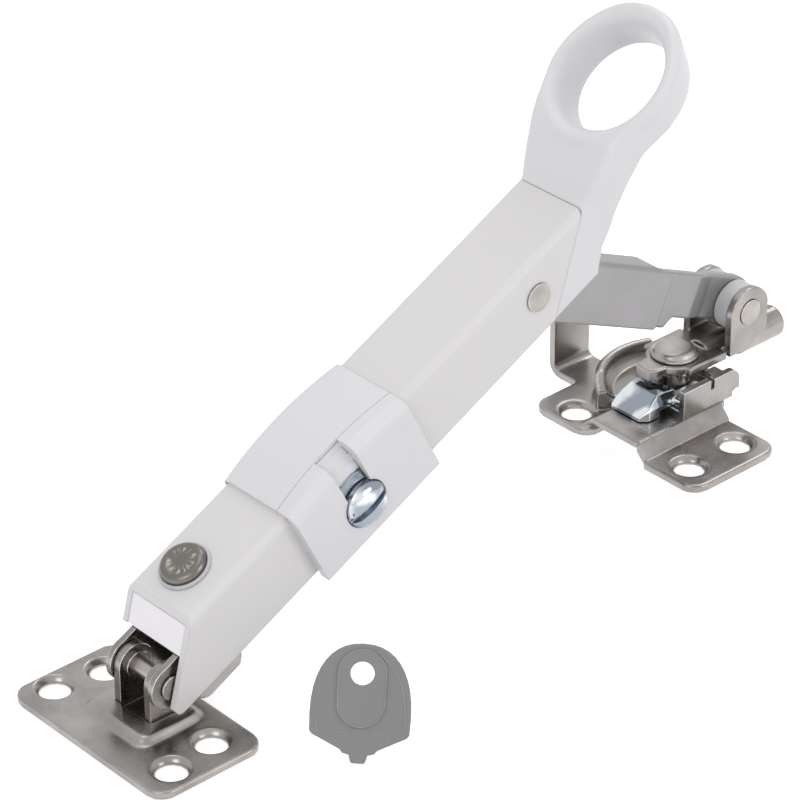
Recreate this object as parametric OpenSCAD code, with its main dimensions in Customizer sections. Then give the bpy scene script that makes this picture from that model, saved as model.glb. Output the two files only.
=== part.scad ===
// Window restrictor: a folding two-arm stay with a pull ring, a key lock
// and two screw plates that swivel. Stands with its sash plate on z = 0.

/* [Linkage] */
// Height of the sash pin above the underside of the sash plate
pin_z = 9.2; // [9:0.1:11]
// Lower datum of the profile arm to the elbow
arm_len = 97; // [92:1:120]
// Height of the elbow line above the sash pin, square to the profile arm
eye_drop = 3; // [2.6:0.1:3.4]
// Elbow to fork pin, along the link arm
link_len = 63.6; // [62:0.2:72]
// Rise of the profile arm above the sash plate, degrees
arm_pitch = 26.8; // [22:0.2:34]
// Fall of the link arm from the elbow, degrees
link_pitch = 24.2; // [18:0.2:30]
// Running clearance of a pin in its hole, on the diameter
pin_play = 0.1; // [0.06:0.02:0.16]
// Side gap between parts that turn on one pin
side_gap = 0.15; // [0.1:0.05:0.2]

/* [Sash plate] */
// Width of the sash plate across the opening
sash_w = 23.6; // [22:0.2:28]
// Length of the sash plate
sash_l = 41.4; // [40:0.2:52]
// Shift of the sash plate's middle from the pin's middle plane
sash_shift = -0.5; // [-0.8:0.1:0]
// Sheet thickness of both screw plates
plate_t = 1.5; // [1.2:0.1:2]
// Corner radius of the sash plate
sash_corner_r = 3.6; // [2:0.2:4]
// Rise of the pressed pad under the clevis
pad_rise = 1.2; // [0.8:0.1:1.4]
// Screw hole diameter in both plates
screw_d = 5.4; // [4.5:0.1:5.8]
// Countersink diameter of the screw holes
sink_d = 7.3; // [6.8:0.1:7.6]
// Distance between the two rows of sash screw holes
sash_row_gap = 10; // [9.6:0.2:11]
// Hole spacing in the row on the window side
sash_row_outer = 32; // [30:0.5:33]
// Hole spacing in the row on the arm side
sash_row_inner = 29; // [28:0.5:31]

/* [Clevis and swivel link] */
// Sheet thickness of the clevis
clevis_t = 1.6; // [1.2:0.1:1.8]
// Width between the clevis ears
clevis_gap = 6.6; // [6:0.1:7]
// Diameter of the sash pin
sash_pin_d = 3.2; // [2.8:0.1:3.6]
// Sheet thickness of the swivel link
swivel_t = 1.2; // [1:0.1:1.3]
// Diameter of the swivel rivet shank
swivel_rivet_d = 4.5; // [4:0.1:5]
// Diameter of the swivel rivet head
swivel_head_d = 8.6; // [7.6:0.1:9]
// Sash pin to the middle line of the sash plate
sash_pin_x = 3.3; // [2:0.1:4]
// Distance along the arm from its datum to the eye of the swivel link
eye_x = 2.2; // [1.8:0.1:2.6]
// Distance along the arm from its datum to the swivel rivet
swivel_x = 18.2; // [17.4:0.2:20]
// Offset of the swivel rivet towards the far side
swivel_y = 1.1; // [0:0.1:1.2]

/* [Profile arm] */
// Outside width of the profile
profile_w = 16.6; // [16.2:0.1:18]
// Outside height of the profile
profile_h = 15; // [14.8:0.1:17]
// Wall thickness of the profile
profile_t = 1.2; // [1:0.05:1.3]
// Height of the pin line above the open edge of the profile
profile_drop = 7.6; // [7.4:0.1:8.2]
// Distance from the elbow to the upper end of the profile
profile_end = 15.5; // [14:0.5:18]

/* [Pull ring] */
// Outside diameter of the ring at its upper rim
ring_d = 28.8; // [26:0.2:32]
// Outside diameter of the ring at its lower rim
ring_low_d = 24.6; // [24:0.2:28]
// Finger hole diameter of the ring
ring_bore = 19.8; // [18:0.2:21]
// Thickness of the ring
ring_t = 9.8; // [8:0.1:10.4]
// Tilt of the ring above the arm, degrees
ring_tilt = 15.8; // [8:0.1:24]
// Distance from the profile end to the ring centre
ring_reach = 22; // [20:0.1:26]
// Height of the ring centre above the pin line
ring_lift = 14.2; // [12:0.1:17]
// Radius on the edges of the ring
ring_edge_r = 1.9; // [1:0.1:2]

/* [Lock] */
// Length of the lock housing along the arm
lock_l = 29; // [27:0.5:32]
// Distance from the sash pin to the lower end of the housing
lock_x = 35.1; // [34:0.2:38]
// Thickness of the side cover over the profile wall
lock_side_t = 2.1; // [1.7:0.1:2.4]
// Height of the cover ends above the profile
lock_end_t = 0.9; // [0.8:0.1:1.2]
// Extra height of the cover at the middle of its arch
lock_arch = 1.7; // [1:0.1:2]
// Diameter of the slotted lock head
lock_head_d = 8.8; // [8:0.1:9]
// Diameter of the lock barrel
lock_barrel_d = 5.8; // [5.2:0.1:6]
// Width of the screwdriver slot in the lock head
lock_slot_w = 1.3; // [1:0.1:1.6]

/* [Link arm] */
// Outside width of the link arm sleeve
sleeve_w = 7.6; // [7.2:0.1:8.4]
// Height of the link arm sleeve
sleeve_h = 11.9; // [11:0.1:12]
// Sheet thickness of the sleeve
sleeve_t = 1.2; // [1:0.1:1.3]
// Distance from the elbow to the end of the sleeve
sleeve_l = 41; // [38:0.5:44]
// Thickness of the link bar
bar_t = 2.4; // [2:0.1:2.6]
// Height of the bar neck
neck_h = 9.6; // [8.5:0.1:10]
// Diameter of the elbow rivet
elbow_d = 5.4; // [4.8:0.1:5.8]
// Diameter of the bar eye
eye_d = 10.3; // [9.6:0.1:10.8]

/* [Swivel fork] */
// Sheet thickness of the fork
fork_t = 1.6; // [1.4:0.1:1.8]
// Width across the fork ears
fork_w = 12.4; // [12:0.1:13]
// Diameter of the fork pin
fork_pin_d = 5; // [4.4:0.1:5.4]
// Distance from the swivel rivet to the fork pin
fork_reach = 13.7; // [13:0.1:15]
// Height of the fork pin above the underside of the frame plate
fork_pin_h = 18.3; // [18:0.1:19.5]

/* [Frame plate] */
// Rise of the platform above the screw flanges
platform_rise = 2.5; // [2:0.1:3]
// Hole spacing along the arms on the double flange
frame_hole_dx = 12.2; // [11:0.1:13]
// Hole spacing between the two flanges
frame_hole_dy = 28.2; // [27:0.1:30]
// Inside radius of the guard rim round the swivel
rim_r = 13; // [12.6:0.1:14]
// Height of the guard rim above the plate
rim_h = 6; // [5:0.2:7]
// Height of the upright tab
tab_h = 15; // [10:0.5:18]
// Diameter of the frame rivet shank
frame_rivet_d = 5; // [4.5:0.1:5.5]
// Diameter of the frame rivet head
frame_head_d = 9.2; // [8.6:0.1:10]
// Sheet thickness of the guide cradle
cradle_t = 1.3; // [1.1:0.1:1.4]
// Height of the cradle walls
cradle_h = 5.7; // [5:0.1:5.8]

/* [Key] */
// Width of the key bow
key_w = 17.2; // [16:0.2:20]
// Thickness of the key
key_t = 2.2; // [1.8:0.1:2.6]
// Hole diameter in the key bow
key_hole_d = 4.1; // [3.5:0.1:5]

/* [Hidden] */
$fn = 64;
eps = 0.01;

// Places of the joints
reach = arm_len - eye_x;
elbow_x = sash_pin_x + reach * cos(arm_pitch) - eye_drop * sin(arm_pitch);
elbow_z = pin_z + reach * sin(arm_pitch) + eye_drop * cos(arm_pitch);
fork_pin_x = elbow_x + link_len * cos(link_pitch);
fork_pin_z = elbow_z - link_len * sin(link_pitch);
frame_x = fork_pin_x - fork_reach;
frame_z = fork_pin_z - fork_pin_h;

// Profile section
wall_in = profile_w / 2 - profile_t;
wall_out = profile_w / 2;
top_out = profile_h - profile_drop;
top_in = top_out - profile_t;
profile_l = arm_len + profile_end;

// Clevis section
ear_in = clevis_gap / 2;
ear_out = ear_in + clevis_t;
link_in = ear_out + side_gap;
link_out = link_in + swivel_t;
head_t = wall_in - link_out - 0.3;

// Fork section
fork_out = fork_w / 2;
fork_in = fork_out - fork_t;
fork_floor = fork_pin_h - 8;
platform_top = plate_t + platform_rise;
sleeve_in = sleeve_w / 2 - sleeve_t;

// Steel colours
steel = [0.60, 0.58, 0.56];
steel_light = [0.66, 0.66, 0.66];
coat = [0.86, 0.86, 0.87];
zinc = [0.74, 0.78, 0.83];
nickel = [0.50, 0.48, 0.46];
nylon = [0.80, 0.81, 0.82];

// The three frames: profile arm, link arm and frame plate
module in_arm() {
    translate([sash_pin_x, 0, pin_z]) rotate([0, -arm_pitch, 0])
        translate([-eye_x, 0, eye_drop]) children();
}

module in_link() {
    translate([elbow_x, 0, elbow_z]) rotate([0, link_pitch, 0]) children();
}

module in_frame() {
    translate([frame_x, 0, frame_z]) children();
}

// An upright sheet cut to the outline in x and z, from y0 to y1
module sheet(y0, y1) {
    translate([0, y1, 0]) rotate([90, 0, 0]) linear_extrude(y1 - y0) children();
}

// A round bar along y
module cross_bar(d, y0, y1) {
    translate([0, y1, 0]) rotate([90, 0, 0]) cylinder(d = d, h = y1 - y0);
}

// A mirrored pair on both sides of the middle plane
module both_sides() {
    children();
    mirror([0, 1, 0]) children();
}

module rounded_rect(x0, y0, x1, y1, r) {
    translate([x0 + r, y0]) square([x1 - x0 - 2 * r, y1 - y0]);
    translate([x0, y0 + r]) square([x1 - x0, y1 - y0 - 2 * r]);
    for (x = [x0 + r, x1 - r], y = [y0 + r, y1 - r]) translate([x, y]) circle(r);
}

// A countersunk screw hole through a sheet whose top is at z
module screw_hole(x, y, z) {
    sink = (sink_d - screw_d) / 2;
    translate([x, y, z - 2 * plate_t]) cylinder(d = screw_d, h = 3 * plate_t);
    translate([x, y, z - sink]) cylinder(d1 = screw_d, d2 = sink_d + 2 * eps, h = sink + eps);
}

// Sash plate with its pressed pad, window and pocket for the clevis foot
pad_x0 = -5.4;
pad_x1 = 9;
pad_y = 8.8;
ear_r = 3.7;
window_x0 = sash_pin_x - ear_r;
window_x1 = sash_pin_x + ear_r;
foot_grow = 1.2;
module sash_plate() {
    color(steel) difference() {
        union() {
            linear_extrude(plate_t) rounded_rect(-sash_w / 2, sash_shift - sash_l / 2,
                sash_w / 2, sash_shift + sash_l / 2, sash_corner_r);
            hull() {
                linear_extrude(plate_t) rounded_rect(pad_x0, -pad_y, pad_x1, pad_y, 2.4, $fn = 32);
                linear_extrude(plate_t + pad_rise) rounded_rect(pad_x0 + pad_rise,
                    -pad_y + pad_rise, pad_x1 - pad_rise, pad_y - pad_rise, 1.6, $fn = 32);
            }
        }
        translate([window_x0, -ear_out, -1]) cube([window_x1 - window_x0, 2 * ear_out, 9]);
        translate([window_x0 - foot_grow, -ear_out - foot_grow, -1])
            cube([window_x1 - window_x0 + 2 * foot_grow, 2 * ear_out + 2 * foot_grow, 1 + clevis_t]);
        for (side = [-1, 1]) {
            screw_hole(-sash_row_gap / 2, side * sash_row_outer / 2, plate_t);
            screw_hole(sash_row_gap / 2, side * sash_row_inner / 2, plate_t);
        }
    }
}

// Clevis: a foot in the pocket of the plate and two ears up through the window
module sash_clevis() {
    color(steel) difference() {
        union() {
            translate([window_x0 - foot_grow, -ear_out - foot_grow, 0])
                cube([window_x1 - window_x0 + 2 * foot_grow, 2 * (ear_out + foot_grow), clevis_t]);
            both_sides() sheet(ear_in, ear_out) {
                translate([sash_pin_x, pin_z]) circle(ear_r);
                translate([window_x0, clevis_t / 2]) square([2 * ear_r, pin_z - clevis_t / 2]);
            }
        }
        translate([sash_pin_x, 0, pin_z]) cross_bar(sash_pin_d, -9, 9);
    }
}

module sash_pin() {
    color(nickel) translate([sash_pin_x, 0, pin_z]) {
        cross_bar(sash_pin_d, -link_out - side_gap, link_out + side_gap);
        both_sides() cross_bar(sash_pin_d + 1.4, link_out + side_gap, link_out + head_t);
    }
}

// Two thin washers on the pin between the ears of the clevis
module sash_pin_washers() {
    color(steel) translate([sash_pin_x, 0, pin_z]) both_sides() difference() {
        cross_bar(sash_pin_d + 1.8, ear_in - 0.7, ear_in);
        cross_bar(sash_pin_d, 0, ear_in + 1);
    }
}

// Swivel link: two ears on the sash pin, joined under the arm by a foot for the rivet
link_eye_r = 4.3;
link_foot = -profile_drop - 4.4;
foot_x = [7, 15.9];
link_nose = 1.2;
module link_side() {
    difference() {
        union() {
            translate([eye_x, -eye_drop]) circle(link_eye_r);
            polygon([[eye_x + 0.6, -eye_drop - link_eye_r + 0.05], [foot_x[0] - 1, link_foot + 0.6],
                [foot_x[0], link_foot], [foot_x[1] - 1.2, link_foot],
                [foot_x[1], link_foot + 1.4], [swivel_x, 0], [swivel_x, link_nose],
                [5.2, link_nose], [eye_x, link_nose]]);
        }
        translate([eye_x, -eye_drop]) circle(d = sash_pin_d + pin_play);
    }
}

module swivel_link() {
    color(steel) in_arm() {
        difference() {
            union() {
                both_sides() sheet(link_in, link_out) link_side();
                translate([foot_x[0], -link_out, link_foot])
                    cube([foot_x[1] - foot_x[0] - 1.2, 2 * link_out, swivel_t]);
                translate([swivel_x, swivel_y, link_nose - swivel_t])
                    cylinder(r = link_out - swivel_y / 2, h = swivel_t);
                translate([6.4, -link_out, link_nose - swivel_t])
                    cube([swivel_x - 6.4, 2 * link_out, swivel_t]);
            }
            translate([swivel_x, swivel_y, link_nose - 2 * swivel_t])
                cylinder(d = swivel_rivet_d, h = 3 * swivel_t);
        }
    }
}

// Spacer on the rivet between the link and the crown of the profile
module swivel_spacer() {
    color(nickel) in_arm() translate([swivel_x, swivel_y, link_nose + side_gap])
        difference() {
        cylinder(d = swivel_rivet_d + 3.5, h = top_in - link_nose - 2 * side_gap);
        translate([0, 0, -1]) cylinder(d = swivel_rivet_d, h = 9);
    }
}

// Swivel rivet with its peened head on the crown and a formed head under the link
module swivel_rivet() {
    head = 2;
    color(nickel) in_arm() translate([swivel_x, swivel_y, 0]) {
        translate([0, 0, link_nose - swivel_t - 1.4])
            cylinder(d = swivel_rivet_d, h = top_out - link_nose + swivel_t + 1.6);
        translate([0, 0, link_nose - swivel_t - 1.4]) cylinder(d = swivel_rivet_d + 2.6, h = 1.4);
        translate([0, 0, top_out + 0.05]) rotate_extrude() polygon([[0, 0],
            [swivel_head_d / 2 - 0.2, 0], [swivel_head_d / 2, 0.3], [swivel_head_d / 2, head - 0.8],
            [swivel_head_d / 2 - 0.35, head - 0.25], [swivel_head_d / 2 - 0.9, head], [0, head]]);
    }
}

// A section in y and z, run along x
module run_x(x0, x1) {
    translate([x0, 0, 0]) rotate([90, 0, 90]) linear_extrude(x1 - x0) children();
}

// A U channel section, open below, with rounded outer corners on its crown
module channel(w, top, bottom, t, r) {
    difference() {
        union() {
            translate([-w / 2, bottom]) square([w, top - r - bottom]);
            translate([-w / 2 + r, bottom]) square([w - 2 * r, top - bottom]);
            for (side = [-1, 1]) translate([side * (w / 2 - r), top - r]) circle(r);
        }
        translate([-w / 2 + t, bottom - 1]) square([w - 2 * t, top - t - bottom + 1]);
    }
}

// Profile arm: a U channel with a raked mouth, short on the far side so that it can swing
mouth_top = 11;
mouth_toe = -0.4;
toe_r = 1.6;
seam_low_x = profile_l - 14.5;
seam_slope = (profile_l - seam_low_x) / profile_h;
far_cut_z = 1.7;
far_cut_x = swivel_x + 9;
lock_pin_x = lock_x + 13.2;
lock_pin_z = -2.2;
screw_x = [lock_x + 4, lock_x + lock_l - 4];
cover_screw_d = 2;
module profile_outline() {
    polygon([[mouth_top, top_out], [mouth_toe, toe_r - profile_drop + 0.4],
        [mouth_toe + 0.3, 0.6 - profile_drop], [mouth_toe + 1, 0.1 - profile_drop],
        [mouth_toe + toe_r, -profile_drop], [seam_low_x, -profile_drop], [profile_l, top_out]]);
}

module arm_profile() {
    color(coat) in_arm() difference() {
        intersection() {
            run_x(-2, profile_l) channel(profile_w, top_out, -profile_drop, profile_t, 1.5);
            sheet(-wall_out, wall_out) profile_outline();
        }
        translate([-9, wall_in - 1, far_cut_z - 20]) cube([far_cut_x + 9 - 2, 3, 20]);
        translate([-9, wall_in - 1, far_cut_z - 22]) cube([far_cut_x + 9, 3, 20]);
        translate([far_cut_x - 2, wall_in - 1, far_cut_z - 2]) rotate([-90, 0, 0])
            cylinder(r = 2, h = 3);
        translate([swivel_x, swivel_y, 0]) cylinder(d = swivel_rivet_d + pin_play, h = 20);
        translate([arm_len, 0, 0]) cross_bar(elbow_d, -20, 20);
        translate([lock_pin_x, 0, lock_pin_z]) cross_bar(lock_barrel_d + pin_play, -20, 0);
        for (x = screw_x) translate([x, 0, lock_pin_z]) cross_bar(cover_screw_d, -20, 20);
    }
}

// Plug in the mouth of the profile, flush with the raked edges
plug_z = link_nose + 0.4;
rake = (mouth_top - mouth_toe) / (top_out - toe_r + profile_drop - 0.4);
module end_plug() {
    inset = 0.25;
    color(coat) in_arm() sheet(-wall_in, wall_in) polygon([
        [mouth_top - rake * profile_t + inset, top_in], [swivel_x - 4.4, top_in],
        [swivel_x - 4.4, plug_z], [mouth_top - rake * (top_out - plug_z) + inset, plug_z]]);
}

// Pull ring: a tongue and two cheeks in the profile, a neck that widens, and the finger ring
ring_r = ring_d / 2;
ring_x = profile_l + ring_reach;
ring_along = [cos(ring_tilt), sin(ring_tilt)];
ring_up = [-sin(ring_tilt), cos(ring_tilt)];
function on_ring(along, up) = [ring_x, ring_lift] + along * ring_along + up * ring_up;
module at_ring() {
    translate([ring_x, 0, ring_lift]) rotate([0, -ring_tilt, 0]) children();
}

// Half section of the ring, drawn in towards its lower rim
module ring_section() {
    r = ring_edge_r;
    upper = [ring_r - r, ring_t / 2 - r];
    lower = [ring_low_d / 2 - r, r - ring_t / 2];
    way = (upper - lower) / norm(upper - lower);
    out = r * [way[1], -way[0]];
    inner = ring_bore / 2 - 1;
    polygon([[inner, ring_t / 2], upper + [0, r], upper, upper + out, lower + out, lower,
        lower - [0, r], [inner, -ring_t / 2]]);
    translate(upper) circle(r);
    translate(lower) circle(r);
}

// Sections of the neck from the seam to the ring: top point, lean, width, height and corner radius
neck_low_x = profile_l - 2.6;
seam_lean = atan((profile_l - neck_low_x) / profile_h);
neck_cuts = [
    [[profile_l, top_out], seam_lean, profile_w - 0.2, profile_h / cos(seam_lean), 1.4],
    [[profile_l + 2.6, top_out + 1.5], 10, profile_w + 0.2, 12.6, 2.2],
    [[profile_l + 6, top_out + 3.6], 2, profile_w + 2, 9.6, 2.8],
    [[profile_l + 9.4, top_out + 6.2], -ring_tilt / 2, profile_w + 4.2, 8, 3],
    [on_ring(-8.8, ring_t / 2 - 0.15), -ring_tilt, profile_w + 6.6, ring_t - 2, 3],
    [on_ring(-2, ring_t / 2 - 0.7), -ring_tilt, ring_d - 3.6, ring_t - 1.7, 3]];
arc_steps = 5;
function section(cut) = let (w = cut[2] / 2, h = cut[3], r = cut[4], lean = cut[1])
    [for (p = concat([[-w, -h], [w, -h]],
        [for (i = [0 : arc_steps]) [w - r + r * cos(90 * i / arc_steps),
            r * sin(90 * i / arc_steps) - r]],
        [for (i = [0 : arc_steps]) [r - w - r * sin(90 * i / arc_steps),
            r * cos(90 * i / arc_steps) - r]]))
        [cut[0][0] + p[1] * sin(lean), p[0], cut[0][1] + p[1] * cos(lean)]];

// A solid skinned over sections that have the same number of points
module skin(cuts) {
    n = len(section(cuts[0]));
    last = len(cuts) - 1;
    polyhedron([for (cut = cuts) each section(cut)],
        concat([[for (j = [0 : n - 1]) j]], [[for (j = [n - 1 : -1 : 0]) last * n + j]],
            [for (i = [0 : last - 1], j = [0 : n - 1]) let (k = (j + 1) % n)
                [i * n + j, (i + 1) * n + k, i * n + k]],
            [for (i = [0 : last - 1], j = [0 : n - 1]) let (k = (j + 1) % n)
                [i * n + j, (i + 1) * n + j, (i + 1) * n + k]]));
}

// Room under the tongue for the crown of the link arm, as wide as the sleeve
link_room = [1, 3.8, 3.3];
module pull_ring() {
    tongue = 8;
    rim = ring_bore / 2;
    room_y = sleeve_w / 2 + 2 * side_gap;
    color(coat) in_arm() difference() {
        union() {
            at_ring() rotate_extrude() ring_section();
            skin(neck_cuts);
            sheet(-wall_in, wall_in) polygon([[profile_l + 1, top_in - 0.4],
                [profile_l, top_in], [profile_l - tongue, top_in],
                [profile_l - tongue, top_in - 2.6], [neck_low_x, 1.6 - profile_drop],
                [neck_low_x + 1.4, 3 - profile_drop]]);
            both_sides() sheet(wall_in - 0.8, wall_out) polygon([[profile_l, top_out - 1],
                [profile_l - seam_slope, top_out - 1], [seam_low_x, -profile_drop],
                [neck_low_x, -profile_drop], [neck_low_x + 0.8, 1 - profile_drop],
                [profile_l + 0.7, top_out - 2.4]]);
        }
        at_ring() rotate_extrude() difference() {
            translate([0, -ring_t]) square([rim + ring_edge_r, 2 * ring_t]);
            rounded_rect(rim, -ring_t / 2, rim + 8, ring_t / 2, ring_edge_r);
        }
        sheet(-room_y, room_y) polygon([[neck_low_x - link_room[0], -profile_drop - 1],
            [neck_low_x + link_room[2], -profile_drop - 1],
            [neck_low_x - link_room[0], link_room[1] - profile_drop]]);
    }
}

// Elbow rivet, with its flush ends, and the bushes that centre the link arm
module elbow_rivet() {
    color(nickel) in_arm() translate([arm_len, 0, 0])
        cross_bar(elbow_d, -wall_out - 0.4, wall_out + 0.4);
}

module elbow_bushes() {
    color(nylon) in_arm() translate([arm_len, 0, 0]) both_sides() difference() {
        cross_bar(elbow_d + 4, sleeve_w / 2 + side_gap, wall_in);
        cross_bar(elbow_d, 0, 20);
    }
}

// Lock housing: an arched cover over the crown and a side cover with the key pocket
lock_mid = lock_x + lock_l / 2;
lock_low = -profile_drop - 1.5;
seam_y = wall_out - 2.4;
arch_r = (lock_l * lock_l / 4 + lock_arch * lock_arch) / (2 * lock_arch);
arch_top = top_out + lock_end_t + lock_arch;
skirt_t = 0.7;
edge_r = 2.4;
module arch_outline(low) {
    intersection() {
        translate([lock_mid, arch_top - arch_r]) circle(arch_r, $fn = 360);
        translate([lock_x, low]) square([lock_l, arch_top - low + 1]);
    }
}

// The corner that is taken off along the arch, where it meets a side face at y
module arch_corner(y) {
    translate([lock_mid, 0, arch_top - arch_r]) rotate([90, 0, 0])
        rotate_extrude($fn = 360) difference() {
            translate([arch_r - edge_r, y - edge_r]) square(edge_r + 1);
            translate([arch_r - edge_r, y - edge_r]) circle(edge_r);
        }
}

module lock_top_cover() {
    color(coat) in_arm() difference() {
        union() {
            sheet(-seam_y, wall_out + skirt_t) arch_outline(top_out);
            sheet(wall_out, wall_out + skirt_t) arch_outline(lock_low);
        }
        mirror([0, 1, 0]) arch_corner(wall_out + skirt_t);
        for (x = screw_x) translate([x, 0, lock_pin_z])
            cross_bar(cover_screw_d, 0, wall_out + skirt_t - 0.3);
    }
}

pocket_floor = wall_out + 0.5;
pocket_flat = 5;
pocket_lip = 0.5;
module lock_side_cover() {
    side_out = wall_out + lock_side_t;
    color(coat) in_arm() difference() {
        union() {
            sheet(-side_out, -wall_out) arch_outline(lock_low);
            sheet(-side_out, -seam_y - 0.05) arch_outline(top_out);
        }
        arch_corner(side_out);
        run_x(lock_pin_x - lock_barrel_d / 2, lock_pin_x + lock_barrel_d / 2)
            polygon([[-side_out - 1, lock_pin_z], [-pocket_floor, lock_pin_z],
                [-pocket_floor, lock_pin_z + pocket_flat], [-seam_y, arch_top - pocket_lip],
                [-seam_y, arch_top + 1], [-side_out - 1, arch_top + 1]]);
        translate([lock_pin_x, 0, lock_pin_z]) cross_bar(lock_head_d + 0.4, -side_out - 1,
            -pocket_floor - 0.7);
        translate([lock_pin_x, 0, lock_pin_z]) cross_bar(lock_barrel_d + pin_play, -side_out, 0);
        for (x = screw_x) translate([x, 0, lock_pin_z])
            cross_bar(cover_screw_d, -side_out + 0.6, 0);
    }
}

// Screws from inside the profile into both covers
module lock_screws() {
    color(nickel) in_arm() both_sides() for (x = screw_x) translate([x, 0, lock_pin_z]) {
        cross_bar(cover_screw_d, wall_in, wall_out + skirt_t - 0.4);
        cross_bar(cover_screw_d + 1.8, wall_in - 0.8, wall_in);
    }
}

// Slotted lock barrel, its cam inside the profile and the clip that holds it
barrel_end = 4.5;
lock_face = wall_out + lock_side_t + 1.1;
module lock_cylinder() {
    head_back = pocket_floor + 0.85;
    color(zinc) in_arm() translate([lock_pin_x, 0, lock_pin_z]) difference() {
        union() {
            cross_bar(lock_barrel_d, -head_back, -barrel_end);
            rotate([90, 0, 0]) rotate_extrude() polygon([[0, head_back],
                [lock_head_d / 2, head_back], [lock_head_d / 2, lock_face - 0.7],
                [lock_head_d / 2 - 0.5, lock_face - 0.2], [lock_head_d / 2 - 1.2, lock_face],
                [0, lock_face]]);
        }
        translate([-lock_head_d, -lock_face - 1, -lock_slot_w / 2])
            cube([2 * lock_head_d, 2.2, lock_slot_w]);
    }
}

cam_t = 1.3;
cam_y = wall_in - 0.2;
module lock_cam() {
    color(steel) in_arm() translate([lock_pin_x, 0, lock_pin_z]) sheet(-cam_y, -cam_y + cam_t)
        difference() {
            union() {
                circle(lock_barrel_d / 2 + 1);
                translate([-1.7, 0]) square([3.4, 5.1]);
                translate([0, 5.1]) circle(1.7);
            }
            circle(d = lock_barrel_d);
        }
}

module lock_clip() {
    clip_y = cam_y - cam_t;
    color(nickel) in_arm() translate([lock_pin_x, 0, lock_pin_z]) sheet(-clip_y, 0.5 - clip_y)
        difference() {
            circle(lock_barrel_d / 2 + 0.9);
            circle(d = lock_barrel_d);
            translate([-1.2, -6]) square([2.4, 6]);
        }
}

// Link arm sleeve: a U channel round the elbow, cut back at its crown
sleeve_r = sleeve_h / 2;
crown_back = 4.2;
module link_sleeve() {
    color(steel_light) in_link() difference() {
        intersection() {
            run_x(-sleeve_r, sleeve_l) channel(sleeve_w, sleeve_r, -sleeve_r, sleeve_t, 1.3);
            sheet(-sleeve_w, sleeve_w) {
                circle(sleeve_r);
                polygon([[0, -sleeve_r], [sleeve_l - 0.6, -sleeve_r], [sleeve_l, 0.6 - sleeve_r],
                    [sleeve_l, sleeve_r - 1.4], [sleeve_l - crown_back, sleeve_r],
                    [0, sleeve_r]]);
            }
        }
        cross_bar(elbow_d + pin_play, -20, 20);
        translate([sleeve_l - crown_back, -sleeve_in, 0]) cube([9, 2 * sleeve_in, 20]);
    }
}

// Link bar: seated in the sleeve, stepped up into a neck, set over to its eye
neck_low = sleeve_r - neck_h;
neck_x = sleeve_l + 3.6;
module bar_plan() {
    near = -sleeve_in;
    over = -bar_t / 2;
    bend = [link_len - 13, link_len - 8.2];
    polygon([[0, near], [bend[0], near], [bend[1], over], [link_len + eye_d, over],
        [link_len + eye_d, over + bar_t], [bend[1], over + bar_t], [bend[0], near + bar_t],
        [0, near + bar_t]]);
}

module link_bar() {
    inner_top = sleeve_r - sleeve_t;
    neck_top = eye_d / 2;
    color(steel_light) in_link() difference() {
        intersection() {
            translate([0, 0, -20]) linear_extrude(40) bar_plan();
            sheet(-sleeve_w, sleeve_w) {
                translate([link_len, 0]) circle(d = eye_d);
                polygon([[22, 0.1 - sleeve_r], [neck_x, 0.1 - sleeve_r], [neck_x + 1.6, neck_low],
                    [link_len - 3, neck_low], [link_len, 0], [link_len, neck_top],
                    [sleeve_l, neck_top], [sleeve_l - crown_back + 0.2, neck_top],
                    [sleeve_l - crown_back + 0.2, inner_top], [22, inner_top]]);
            }
        }
        translate([link_len, 0, 0]) cross_bar(fork_pin_d + pin_play, -20, 20);
    }
}

// Washers between the eye and the fork ears
module fork_washers() {
    washer_d = eye_d - 0.8;
    color(nylon) in_frame() translate([fork_reach, 0, fork_pin_h]) both_sides() difference() {
        cross_bar(washer_d, bar_t / 2 + side_gap, fork_in);
        cross_bar(fork_pin_d, 0, 20);
    }
}

module fork_pin() {
    color(nickel) in_frame() translate([fork_reach, 0, fork_pin_h]) {
        cross_bar(fork_pin_d, -fork_out - 0.2, fork_out + 0.2);
    }
}

// Swivel fork: two round-topped ears on a foot that turns on the frame rivet
ear_half = 5;
nose_x = -8.2;
nose_y = [-2.3, 2.2];
nose_h = 0.9;
roll_r = 3.2;
roll_y = -1;
roll_x = [5.4, 26];
roll_open_x = 15;
module fork_ear() {
    translate([fork_reach, fork_pin_h]) circle(ear_half);
    polygon([[fork_reach - ear_half, fork_floor], [fork_reach - ear_half, fork_pin_h],
        [fork_reach + ear_half, fork_pin_h], [fork_reach + ear_half - 0.2, fork_floor + 2.6],
        [fork_reach + 3.2, fork_floor + 1.6], [fork_reach + 0.6, fork_floor + 0.4],
        [fork_reach - 2, fork_floor]]);
}

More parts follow.
